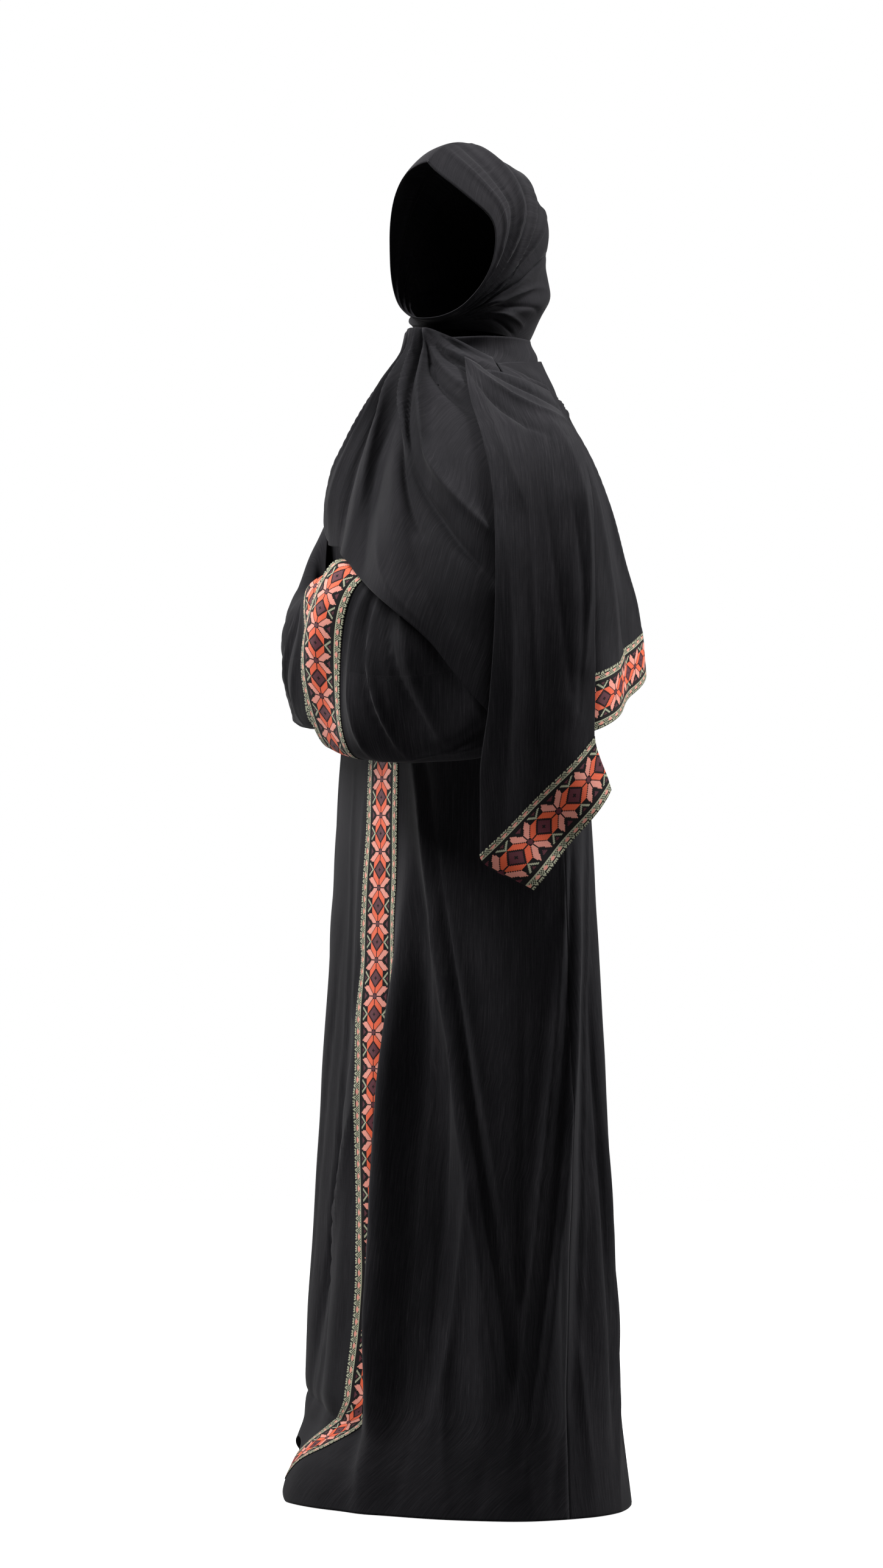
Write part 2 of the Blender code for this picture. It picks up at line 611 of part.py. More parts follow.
def build_sleeves():
    turns = tuple(18.0 * step for step in range(20))
    for name, table, side in (("left", LEFT_SLEEVE, 1.0), ("right", RIGHT_SLEEVE, -1.0)):
        def point(turn, station, table=table, side=side):
            return sleeve_point(table, side, turn, station)

        sleeve = Surface(point, turns, sleeve_stations(table), closed=True, flip=side)
        wall("sleeve_" + name, sleeve, BLACK_CREPE)
        cuff = sleeve.part(slice(-CUFF_STEPS - 1, None), slice(None))
        wall("cuff_band_" + name, cuff, STITCHED, SEAM_GAP + TRIM, SEAM_GAP)


def build_scarf():
    turns = tuple(15.0 * step for step in range(24))
    wall("scarf_hood", Surface(hood_point, turns, HOOD_TILTS, closed=True, flip=-1.0), BLACK_CREPE)
    around = tuple(-155.0 + 15.0 * step for step in range(24))
    wall("scarf_neck_wrap", Surface(wrap_point, around, WRAP_STEPS, closed=True, flip=-1.0), BLACK_CREPE)
    wall("scarf_chest_sheet", Surface(chest_point, CHEST_ANGLES, CHEST_STEPS, flip=-1.0), BLACK_CREPE)
    ends = (("near", NEAR_END, NEAR_STEPS, END_ACROSS, 3.0), ("far", FAR_END, FAR_STEPS, FAR_ACROSS, 4.0))
    for name, table, steps, across, waves in ends:
        def point(column, step, table=table, waves=waves):
            return end_point(table, waves, column, step)

        end = Surface(point, across, steps, flip=-1.0)
        wall("scarf_end_" + name, end, BLACK_CREPE)
        band = end.part(slice(-END_BAND_STEPS, None), slice(None))
        wall("scarf_band_" + name, band, STITCHED, SEAM_GAP + TRIM, SEAM_GAP)


build_abaya()
build_sleeves()
build_scarf()
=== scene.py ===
"""The look of the prayer abaya: its cloth, creases, weave and stitched bands."""
from functools import partial

import bpy
import numpy as np
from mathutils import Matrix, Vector


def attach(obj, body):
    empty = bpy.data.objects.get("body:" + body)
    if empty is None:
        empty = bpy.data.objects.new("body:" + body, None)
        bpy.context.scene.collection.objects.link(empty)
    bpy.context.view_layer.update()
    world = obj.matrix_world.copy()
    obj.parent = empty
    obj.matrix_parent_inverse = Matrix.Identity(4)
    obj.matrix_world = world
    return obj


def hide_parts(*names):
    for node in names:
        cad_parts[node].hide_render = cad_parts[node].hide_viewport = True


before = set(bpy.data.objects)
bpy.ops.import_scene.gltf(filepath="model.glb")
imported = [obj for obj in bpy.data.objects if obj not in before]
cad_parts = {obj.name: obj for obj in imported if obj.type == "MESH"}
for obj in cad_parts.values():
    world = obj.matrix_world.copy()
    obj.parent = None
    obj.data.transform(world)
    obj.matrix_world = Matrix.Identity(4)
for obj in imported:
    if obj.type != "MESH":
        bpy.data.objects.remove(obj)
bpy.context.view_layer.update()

# The garment's form, in metres, with the same values as the CAD solids.
SHOULDER_HEIGHT = 1.352
TRIM = 0.001
SEAM_GAP = 0.0004
BAND_WIDTH = 0.073


class Table:
    """Rows of numbers under named columns, read smoothly along the first column."""

    def __init__(self, columns, rows):
        self.columns = columns
        self.data = np.array(sorted(rows), dtype=float)

    def at(self, name, where):
        keys = self.data[:, 0]
        values = self.data[:, self.columns.index(name)]
        where = np.clip(np.asarray(where, dtype=float), keys[0], keys[-1])
        gaps = np.diff(keys)
        slopes = np.diff(values) / gaps
        tangents = np.zeros(len(keys))
        tangents[0], tangents[-1] = slopes[0], slopes[-1]
        same_way = slopes[:-1] * slopes[1:] > 0
        sums = np.where(same_way, slopes[:-1] + slopes[1:], 1.0)
        tangents[1:-1] = np.where(same_way, 2 * slopes[:-1] * slopes[1:] / sums, 0.0)
        index = np.clip(np.searchsorted(keys, where, side="right") - 1, 0, len(keys) - 2)
        t = (where - keys[index]) / gaps[index]
        start, end = values[index], values[index + 1]
        rise = gaps[index] * (tangents[index] * t * (1 - t) ** 2
                              - tangents[index + 1] * t * t * (1 - t))
        return start + (end - start) * t * t * (3 - 2 * t) + rise


# The torso and skirt: an oval ring at each height.
BODY = Table(("height", "half_width", "half_depth", "centre_y"), (
    (0.000, 0.252, 0.186, 0.000),
    (0.050, 0.249, 0.178, 0.000),
    (0.130, 0.247, 0.166, 0.000),
    (0.200, 0.246, 0.157, 0.000),
    (0.430, 0.244, 0.137, 0.000),
    (0.650, 0.240, 0.121, 0.000),
    (0.900, 0.230, 0.112, 0.000),
    (1.050, 0.208, 0.110, -0.002),
    (1.150, 0.192, 0.114, -0.004),
    (1.230, 0.186, 0.112, -0.004),
    (1.290, 0.180, 0.102, 0.000),
    (1.320, 0.158, 0.092, 0.004),
    (1.340, 0.128, 0.084, 0.006),
    (1.360, 0.100, 0.076, 0.008),
    (1.378, 0.082, 0.070, 0.008),
))
POOL_HEIGHT = 0.130

# The long folds. Each has its angle high up and at the hem, its width and depth, the height
# where it starts and the height where it is full. A negative depth is a hollow.
FOLDS = (
    (15.5, 18.8, 5.4, 0.046, 0.87, 0.46),
    (6.0, 9.5, 5.0, -0.011, 0.84, 0.44),
    (14.0, 68.0, 8.0, 0.012, 1.05, 0.60),
    (6.0, 54.0, 8.0, -0.009, 0.95, 0.50),
    (106.0, 74.0, 9.0, 0.013, 0.95, 0.55),
    (92.0, 62.0, 6.0, -0.006, 0.80, 0.30),
    (118.0, 92.0, 7.0, -0.010, 0.95, 0.50),
    (132.0, 112.0, 9.0, 0.010, 0.95, 0.45),
    (150.0, 134.0, 8.0, -0.010, 1.05, 0.50),
    (166.0, 156.0, 9.0, 0.014, 1.10, 0.45),
    (186.0, 180.0, 9.0, -0.012, 1.10, 0.50),
    (204.0, 204.0, 9.0, 0.013, 1.10, 0.45),
    (222.0, 226.0, 8.0, -0.010, 1.00, 0.50),
    (240.0, 248.0, 9.0, 0.012, 0.95, 0.45),
    (262.0, 270.0, 8.0, -0.009, 0.90, 0.45),
    (284.0, 290.0, 9.0, 0.012, 0.95, 0.45),
    (304.0, 308.0, 7.0, -0.010, 0.95, 0.50),
    (322.0, 322.0, 8.0, 0.010, 1.00, 0.50),
    (340.0, 338.0, 6.0, -0.007, 0.95, 0.50),
    (350.0, 350.0, 5.0, 0.006, 0.95, 0.50),
)

# The front band drifts to the wearer's left on its way down, and is drawn in behind the first fold.
BAND_LINE = Table(("height", "angle", "squeeze"), (
    (0.00, 8.6, 0.30), (0.13, 8.6, 0.36), (0.26, 8.4, 0.36), (0.32, 7.0, 0.32), (0.42, 3.8, 0.22),
    (0.52, 1.4, 0.08), (0.62, 0.0, 0.00), (1.378, 0.0, 0.00),
))

# The front hem is swept towards the wearer's right and lifted where it turns.
HEM_SWEEP = Table(("angle", "turn", "lift"), (
    (-90.0, 0.0, 0.000), (-60.0, 2.0, 0.012), (-42.0, 5.0, 0.050), (-26.0, 9.0, 0.070),
    (-9.0, 18.0, 0.056), (0.0, 27.0, 0.040), (9.0, 36.0, 0.024), (16.0, 41.0, 0.008),
    (25.0, 42.0, 0.000), (36.0, 35.0, 0.000), (50.0, 22.0, 0.000), (70.0, 7.0, 0.000),
    (90.0, 0.0, 0.000),
))
POOL_REACH = Table(("height", "reach"), (
    (0.000, 0.030), (0.020, 0.029), (0.045, 0.023), (0.070, 0.008), (0.095, -0.004), (0.130, 0.0),
))


def added_up(steps, axis=0):
    """Distances run after each step, from 0."""
    return np.insert(np.cumsum(steps, axis=axis), 0, 0.0, axis=axis)


def bell(distance, width):
    return np.exp(-(distance / width) ** 2)


def ease(amount):
    amount = np.clip(amount, 0.0, 1.0)
    return amount * amount * (3 - 2 * amount)


def wrapped(angle):
    return (np.asarray(angle) + 180.0) % 360.0 - 180.0


def fold_relief(angle, height):
    relief = np.zeros(np.broadcast(angle, height).shape)
    for upper, hem, width, depth, start, full in FOLDS:
        share = np.clip(1.0 - height / 1.05, 0.0, 1.0)
        line = upper + (hem - upper) * share
        relief = relief + depth * bell(wrapped(angle - line), width) * ease((start - height) / (start - full))
    return relief * (0.10 + 0.90 * ease(height / 0.24))


def body_point(angle, height):
    """A point of the abaya's outer side, with its folds and the pool in front."""
    outward = fold_relief(angle, height)
    outward = outward + POOL_REACH.at("reach", height) * bell(wrapped(angle + 14.0), 30.0)
    turn = np.radians(angle)
    x = (BODY.at("half_width", height) + outward) * np.sin(turn)
    y = BODY.at("centre_y", height) - (BODY.at("half_depth", height) + outward) * np.cos(turn)
    return np.stack([x, y, np.broadcast_to(height, x.shape)], axis=-1)


def body_normal(angle, height):
    across = body_point(angle + 1.0, height) - body_point(angle - 1.0, height)
    up = body_point(angle, height + 0.003) - body_point(angle, height - 0.003)
    normal = np.cross(across, up)
    return normal / np.linalg.norm(normal, axis=-1, keepdims=True)


# Armholes: ovals on the side of the body surface.
ARMHOLE_HEIGHT = 1.172
ARMHOLE_RISE = 0.112
ARMHOLE_HALF_ANGLE = 31.0


def armhole_half_angle(height):
    inside = np.clip(1.0 - ((height - ARMHOLE_HEIGHT) / ARMHOLE_RISE) ** 2, 0.0, 1.0)
    return ARMHOLE_HALF_ANGLE * np.sqrt(inside)


NECK_HEIGHT = 1.378
BAND_EDGE_ANGLE = 9.0


def edge_angle(height):
    """How far from the centre line a panel reaches at a height: the side seam or armhole."""
    seam = np.degrees(SEAM_GAP / 2 / BODY.at("half_width", height))
    return 90.0 - seam - armhole_half_angle(height)


def front_place(column, row):
    """column is the cut's angle, row a height, or below the pool's top a negative hem step."""
    height = np.where(row >= 0, row, POOL_HEIGHT)
    step = np.where(row < 0, -row, 0.0)
    lift = HEM_SWEEP.at("lift", column)
    height = height + (lift - POOL_HEIGHT) * step
    turned = HEM_SWEEP.at("turn", column) * ease(step * 0.9) / ease(0.9)
    reach = edge_angle(np.where(row >= 0, row, POOL_HEIGHT)) / 90.0
    shift = BAND_LINE.at("angle", height) * bell(column, 42.0)
    squeezed = column * (1 - BAND_LINE.at("squeeze", height) * bell(column, 13.0) * (1 - step))
    return squeezed * reach + shift * (1 - np.abs(column) / 90.0) - turned, height


def back_place(column, row):
    height = np.where(row >= 0, row, POOL_HEIGHT * (1.0 + row))
    reach = edge_angle(np.maximum(height, 0.0)) / 90.0
    return 180.0 + (column - 180.0) * reach, height


# The sleeves: upright ovals along the bent arm, in plan for the wearer's left.
SLEEVE_COLUMNS = ("station", "x", "y", "top", "bottom", "half_thickness", "heading")
LEFT_SLEEVE = Table(SLEEVE_COLUMNS, (
    (0.00, 0.216, -0.004, 1.282, 1.062, 0.056, 0.0),
    (0.10, 0.231, -0.013, 1.268, 1.036, 0.050, -20.0),
    (0.22, 0.248, -0.036, 1.238, 0.968, 0.043, -46.0),
    (0.36, 0.250, -0.072, 1.175, 0.918, 0.040, -82.0),
    (0.50, 0.224, -0.118, 1.118, 0.899, 0.040, -124.0),
    (0.64, 0.160, -0.162, 1.100, 0.895, 0.038, -150.0),
    (0.78, 0.092, -0.187, 1.112, 0.899, 0.036, -168.0),
    (0.90, 0.046, -0.190, 1.128, 0.905, 0.036, -180.0),
    (1.00, 0.008, -0.186, 1.139, 0.913, 0.035, -186.0),
))
RIGHT_SLEEVE = Table(SLEEVE_COLUMNS, (
    (0.00, 0.216, -0.004, 1.282, 1.062, 0.056, 0.0),
    (0.10, 0.230, -0.013, 1.268, 1.036, 0.049, -20.0),
    (0.22, 0.246, -0.038, 1.236, 0.980, 0.037, -44.0),
    (0.36, 0.243, -0.070, 1.170, 0.950, 0.032, -80.0),
    (0.50, 0.210, -0.102, 1.118, 0.940, 0.031, -124.0),
    (0.64, 0.152, -0.124, 1.104, 0.938, 0.032, -150.0),
    (0.78, 0.100, -0.145, 1.112, 0.938, 0.029, -168.0),
    (0.90, 0.054, -0.150, 1.122, 0.941, 0.027, -178.0),
    (1.00, 0.012, -0.150, 1.132, 0.946, 0.027, -182.0),
))
SLEEVE_STANDOFF = 0.0018


def cuff_start(table):
    """The place along a sleeve that is a band's width from its edge."""
    fine = np.linspace(0.0, 1.0, 201)
    run = added_up(np.hypot(np.diff(table.at("x", fine)), np.diff(table.at("y", fine))))
    return np.interp(run[-1] - BAND_WIDTH, run, fine)


def sleeve_point(table, side, turn, station):
    """side is +1 for the wearer's left; turn goes round the ring, 90 at its top."""
    angle = np.radians(turn)
    top = table.at("top", station)
    bottom = table.at("bottom", station)
    heading = np.radians(table.at("heading", station))
    across = table.at("half_thickness", station) * np.sign(np.cos(angle)) * np.abs(np.cos(angle)) ** 0.8
    lift = np.sin(angle)
    waves = 0.006 * np.cos(angle) * np.sin(station * 21.0 + lift * 2.2)
    across = across + waves * ease((station - 0.2) / 0.2)
    x = table.at("x", station) + across * np.sin(-heading)
    y = table.at("y", station) + across * np.cos(heading)
    advance = 0.028 * ease((station - 0.6) / 0.3) * (lift ** 2)
    x = x - advance * np.cos(heading) * (0.6 + 0.4 * lift)
    y = y - advance * np.sin(heading) * (0.6 + 0.4 * lift)
    height = (top + bottom) / 2 + (top - bottom) / 2 * lift
    free = np.stack([x, y, height], axis=-1)
    root_height = ARMHOLE_HEIGHT + (ARMHOLE_RISE + 0.004) * lift
    root_angle = 90.0 + (ARMHOLE_HALF_ANGLE + 2.0) * np.cos(angle)
    root = body_point(root_angle, root_height) + body_normal(root_angle, root_height) * SLEEVE_STANDOFF
    blend = (np.clip(1.0 - station / 0.10, 0.0, 1.0) ** 2)[..., None]
    point = root * blend + free * (1 - blend)
    return point * np.array([side, 1.0, 1.0])


# The scarf lies on this form: its radius at each height, a column for each angle.
DRAPE_ANGLES = (-100, -60, -20, 0, 20, 45, 65, 90, 110, 135, 155, 185, 215)
DRAPE = Table(("height",) + DRAPE_ANGLES, (
    (1.430, .080, .072, .068, .073, .078, .078, .076, .078, .084, .090, .096, .110, .112),
    (1.400, .092, .080, .074, .079, .085, .086, .084, .086, .090, .094, .096, .104, .108),
    (1.375, .110, .094, .086, .093, .100, .104, .104, .106, .104, .102, .102, .106, .108),
    (1.350, .142, .118, .101, .108, .117, .128, .136, .142, .128, .112, .112, .112, .120),
    (1.320, .184, .144, .114, .120, .132, .150, .168, .178, .153, .126, .122, .121, .140),
    (1.290, .212, .158, .129, .136, .148, .176, .204, .224, .178, .140, .132, .130, .158),
    (1.250, .238, .172, .150, .154, .168, .206, .242, .264, .204, .154, .146, .142, .176),
    (1.200, .262, .180, .165, .168, .188, .236, .272, .290, .226, .174, .163, .152, .190),
    (1.140, .275, .184, .165, .176, .216, .268, .296, .304, .242, .193, .182, .162, .20),
    (1.080, .280, .190, .168, .190, .248, .288, .309, .312, .256, .210, .201, .170, .20),
    (1.000, .285, .190, .170, .200, .262, .296, .315, .315, .262, .224, .220, .180, .20),
    (0.900, .285, .190, .170, .200, .262, .298, .316, .316, .266, .230, .226, .180, .20),
    (0.740, .285, .190, .170, .200, .262, .298, .314, .312, .266, .230, .226, .180, .20),
))


def drape_radius(angle, height):
    """The radius of the drape form, read between its columns."""
    columns = np.array(DRAPE_ANGLES, dtype=float)
    angle = np.clip(angle, columns[0], columns[-1])
    index = np.clip(np.searchsorted(columns, angle, side="right") - 1, 0, len(columns) - 2)
    radii = np.stack([DRAPE.at(name, height) for name in DRAPE_ANGLES], axis=-1)
    plain = (angle - columns[index]) / (columns[index + 1] - columns[index])
    low = np.take_along_axis(radii, index[..., None], -1)[..., 0]
    high = np.take_along_axis(radii, index[..., None] + 1, -1)[..., 0]
    return low + (high - low) * 0.5 * (ease(plain) + plain)


def round_axis(angle, radius, height):
    turn = np.radians(angle)
    return np.stack([radius * np.sin(turn), -radius * np.cos(turn), height + 0 * radius], axis=-1)


# The hood: rings turned about a line under the chin, from the face to the neck.
HEAD_TURN = 25.0
HOOD = Table(("tilt", "reach", "half_width", "throat"), (
    (0.0, 0.199, 0.079, 0.010),
    (8.0, 0.223, 0.082, 0.008),
    (18.0, 0.240, 0.084, 0.008),
    (30.0, 0.243, 0.085, 0.008),
    (45.0, 0.230, 0.085, 0.009),
    (60.0, 0.207, 0.083, 0.010),
    (75.0, 0.184, 0.080, 0.011),
    (88.0, 0.162, 0.072, 0.012),
    (100.0, 0.144, 0.066, 0.014),
))
HOOD_PIVOT_FORWARD = 0.060
HOOD_PIVOT_HEIGHT = 1.424
HOOD_FOLDS = ((22.0, 3.5, 0.003), (34.0, 4.0, -0.003), (47.0, 4.5, 0.004), (61.0, 5.0, -0.003),
              (74.0, 5.0, 0.004))


# Over the temple the rim runs slantwise, more on the wearer's left than on the right.
RIM_SLANT_LEFT = 1.7
RIM_SLANT_RIGHT = 0.25
RIM_SET_BACK = 0.030


def hood_point(turn, tilt):
    angle = np.radians(turn)
    lean = np.radians(tilt)
    up = np.sin(angle)
    reach = HOOD.at("reach", tilt)
    throat = HOOD.at("throat", tilt)
    crease = sum(depth * bell(tilt - line, width) for line, width, depth in HOOD_FOLDS)
    rim = (1 - ease(tilt / 36.0)) * ease(np.maximum(up, 0.0) / 0.5)
    slant = np.where(np.cos(angle) > 0, RIM_SLANT_LEFT, RIM_SLANT_RIGHT) * rim
    across = np.maximum(np.abs(np.cos(angle)), 1e-9)
    sideways = np.sign(np.cos(angle)) * across ** (0.86 + slant)
    out = (reach + throat) / 2 + (reach - throat) / 2 * up + crease * np.maximum(up + 0.6, 0.0) * 0.6
    lateral = (HOOD.at("half_width", tilt) + crease) * sideways
    forward = HOOD_PIVOT_FORWARD - out * np.sin(lean)
    set_back = RIM_SET_BACK * across ** (2 + 2.4 * slant) * (1 - ease(tilt / 60.0))
    forward = forward - set_back + 0.014 * (1 - ease(tilt / 30.0))
    height = HOOD_PIVOT_HEIGHT + out * np.cos(lean)
    yaw = np.radians(HEAD_TURN)
    x = forward * np.sin(yaw) + lateral * np.cos(yaw)
    y = -forward * np.cos(yaw) + lateral * np.sin(yaw)
    return np.stack([x, y, height], axis=-1)


WRAP_INSET = 0.0085
WRAP_FIRST_ANGLE = -155.0
WRAP_TOP = Table(("angle", "height"), (
    (-155.0, 1.406), (-110.0, 1.408), (-60.0, 1.412), (25.0, 1.408), (90.0, 1.412), (155.0, 1.410),
    (205.0, 1.406),
))
# Where the turn rests on the abaya (inwards) and carries the sheet (outwards): angle, width, push.
WRAP_RESTS = ((130.0, 12.0, -0.0016), (42.0, 11.0, 0.0022))
WRAP_UNDER_HOOD = 0.0036


def wrap_point(angle, step):
    """The turn round the neck; step 0 is its upper edge and 1 its lower edge."""
    top = WRAP_TOP.at("height", np.where(angle > 205.0, angle - 360.0, angle))
    low = 1.347 + 0.003 * np.sin(np.radians(angle * 3))
    height = top + (low - top) * step
    looked_up = np.where(angle > 215.0, angle - 360.0, angle)
    near = drape_radius(np.maximum(looked_up, -100.0), height)
    far = drape_radius(np.full_like(looked_up, 215.0), height)
    past = ease((-100.0 - looked_up) / 45.0)
    radius = near + (far - near) * past - WRAP_INSET
    radius = radius + 0.002 * np.sin(np.radians(angle * 2) + step * 9.0)
    for place, width, push in WRAP_RESTS:
        radius = radius + push * bell(angle - place, width)
    radius = radius - WRAP_UNDER_HOOD * bell(angle - 165.0, 16.0) * (1 - step) ** 2
    return round_axis(angle, radius, height)


# The sheet over the chest: its lower edge, which is the scarf's long edge.
CHEST_EDGE = Table(("angle", "height"), (
    (-98.0, 1.352), (-80.0, 1.318), (-60.0, 1.255), (-40.0, 1.196), (-20.0, 1.164), (-8.0, 1.158),
    (6.0, 1.152), (18.0, 1.142), (28.0, 1.119), (40.0, 1.086), (52.0, 1.038), (58.0, 0.999),
    (65.0, 0.955), (75.0, 0.905), (82.0, 0.880),
))
CHEST_TOP = Table(("angle", "height"), (
    (-98.0, 1.386), (-60.0, 1.410), (-30.0, 1.420), (0.0, 1.424), (25.0, 1.422), (50.0, 1.410),
    (82.0, 1.386),
))
CHEST_FOLDS = ((-14.0, -10.0, 5.0, 0.009), (-4.0, 4.0, 4.0, -0.008), (6.0, 19.0, 4.5, 0.011),
               (15.0, 32.0, 4.5, -0.009), (27.0, 46.0, 5.0, 0.009), (38.0, 58.0, 5.0, -0.004))


def chest_point(angle, step):
    top = CHEST_TOP.at("height", angle)
    height = top + (CHEST_EDGE.at("height", angle) - top) * step
    relief = 0.0
    for upper, lower, width, depth in CHEST_FOLDS:
        line = upper + (lower - upper) * step
        relief = relief + depth * bell(angle - line, width) * ease(step / 0.45) * (1 - 0.6 * step)
    return round_axis(angle, drape_radius(angle, height) + relief, height)


END_COLUMNS = ("step", "left_angle", "left_height", "right_angle", "right_height", "stand_off")
NEAR_END = Table(END_COLUMNS, (
    (0.00, 61.0, 1.384, 106.0, 1.342, 0.0080),
    (0.10, 62.0, 1.346, 102.0, 1.324, 0.0120),
    (0.22, 65.5, 1.280, 97.0, 1.300, 0.0130),
    (0.36, 67.0, 1.200, 91.0, 1.215, 0.0112),
    (0.52, 66.5, 1.090, 88.5, 1.110, 0.013),
    (0.68, 65.0, 0.965, 88.0, 1.030, 0.015),
    (0.80, 63.2, 0.875, 88.0, 0.975, 0.015),
    (0.905, 63.2, 0.788, 87.5, 0.926, 0.018),
    (1.00, 74.0, 0.7465, 91.3, 0.863, 0.020),
))
FAR_END = Table(END_COLUMNS, (
    (0.00, 84.0, 1.378, 208.0, 1.392, -0.0030),
    (0.12, 84.0, 1.350, 198.0, 1.352, 0.0),
    (0.28, 84.0, 1.275, 183.0, 1.285, 0.0),
    (0.45, 84.5, 1.190, 171.0, 1.222, 0.0),
    (0.65, 85.0, 1.090, 161.0, 1.166, 0.0),
    (0.85, 86.0, 0.995, 153.0, 1.108, 0.0),
    (1.00, 87.5, 0.930, 150.0, 1.055, 0.0),
))
# Where the stitched band begins on each end.
NEAR_BAND_START = 0.905
FAR_BAND_START = 0.85


def end_point(table, waves, across, step):
    left = table.at("left_angle", step)
    right = table.at("right_angle", step)
    angle = left + (right - left) * across
    low = table.at("left_height", step)
    high = table.at("right_height", step)
    height = low + (high - low) * across
    radius = drape_radius(angle, height) + table.at("stand_off", step)
    radius = radius + 0.004 * np.sin(np.pi * waves * across + 0.6) * ease(step / 0.4)
    return round_axis(angle, radius, height)


def normals(point, columns, rows, closed, flip):
    """Outward directions of a surface, from small steps along its two parameters."""
    sideways = 0.002 * (columns.max() - columns.min())
    onwards = 0.002 * (rows.max() - rows.min())
    ahead, behind = columns + sideways, columns - sideways
    if not closed:
        ahead, behind = np.minimum(ahead, columns.max()), np.maximum(behind, columns.min())
    across = point(ahead, rows) - point(behind, rows)
    down = point(columns, np.minimum(rows + onwards, rows.max()))
    down = down - point(columns, np.maximum(rows - onwards, rows.min()))
    normal = np.cross(across, down) * flip
    return normal / np.linalg.norm(normal, axis=-1, keepdims=True)


# What the scene adds: creases, weave and stitches on the forms above.
FLOOR = -SHOULDER_HEIGHT
SHELL = 0.0009
STITCH_CELL = 0.00146
BAND_LIFT = SEAM_GAP + TRIM * 0.5
# Each crease is a soft swell with a narrow crest on it.
CRISP = 0.42
CREST_SHARE = 0.34
# Crease tables are in degrees and millimetres: angle, height, angle, height, width, depth, bow.
MM = 0.001
CREASE_UNITS = (1.0, MM, 1.0, MM, MM, MM, MM)


def crease_field(along, height, creases, scale):
    """Uneven creases, each with angle and height at both ends, width, depth and bow."""
    relief = np.zeros(np.broadcast(along, height).shape)
    for from_angle, from_height, to_angle, to_height, width, depth, bow in np.array(creases) * CREASE_UNITS:
        run_x = (to_angle - from_angle) * scale
        run_z = to_height - from_height
        length = np.hypot(run_x, run_z)
        off_x = wrapped(along - from_angle) * scale
        off_z = height - from_height
        share = (off_x * run_x + off_z * run_z) / length ** 2
        across = (off_x * run_z - off_z * run_x) / length
        inside = np.clip(share, 0.0, 1.0)
        past = np.abs(share - inside) * length
        across = across - bow * np.sin(np.pi * inside)
        end_fade = np.sin(np.pi * np.clip(0.06 + 0.88 * inside, 0.0, 1.0)) ** 0.7
        crest = (1 - CRISP) * bell(across, width) + CRISP * bell(across, width * CREST_SHARE)
        relief = relief + depth * crest * bell(past, width * 1.5) * end_fade
    return relief


def unevenness(points, size, amount):
    """Slow waves in the cloth that never repeat in step with each other."""
    x, y, z = points[..., 0] / size, points[..., 1] / size, points[..., 2] / size
    first = np.sin(x * 2.1 + 1.3 * np.sin(z * 1.7 + 0.4)) * np.sin(y * 1.9 + z * 1.3)
    second = np.sin(z * 2.9 - x * 1.1 + 2.0) * np.sin(x * 3.7 + y * 2.3 + 1.1)
    third = np.sin((x + y + z) * 4.3 + 0.7) * 0.5
    return amount * (first + 0.6 * second + 0.4 * third) / 2


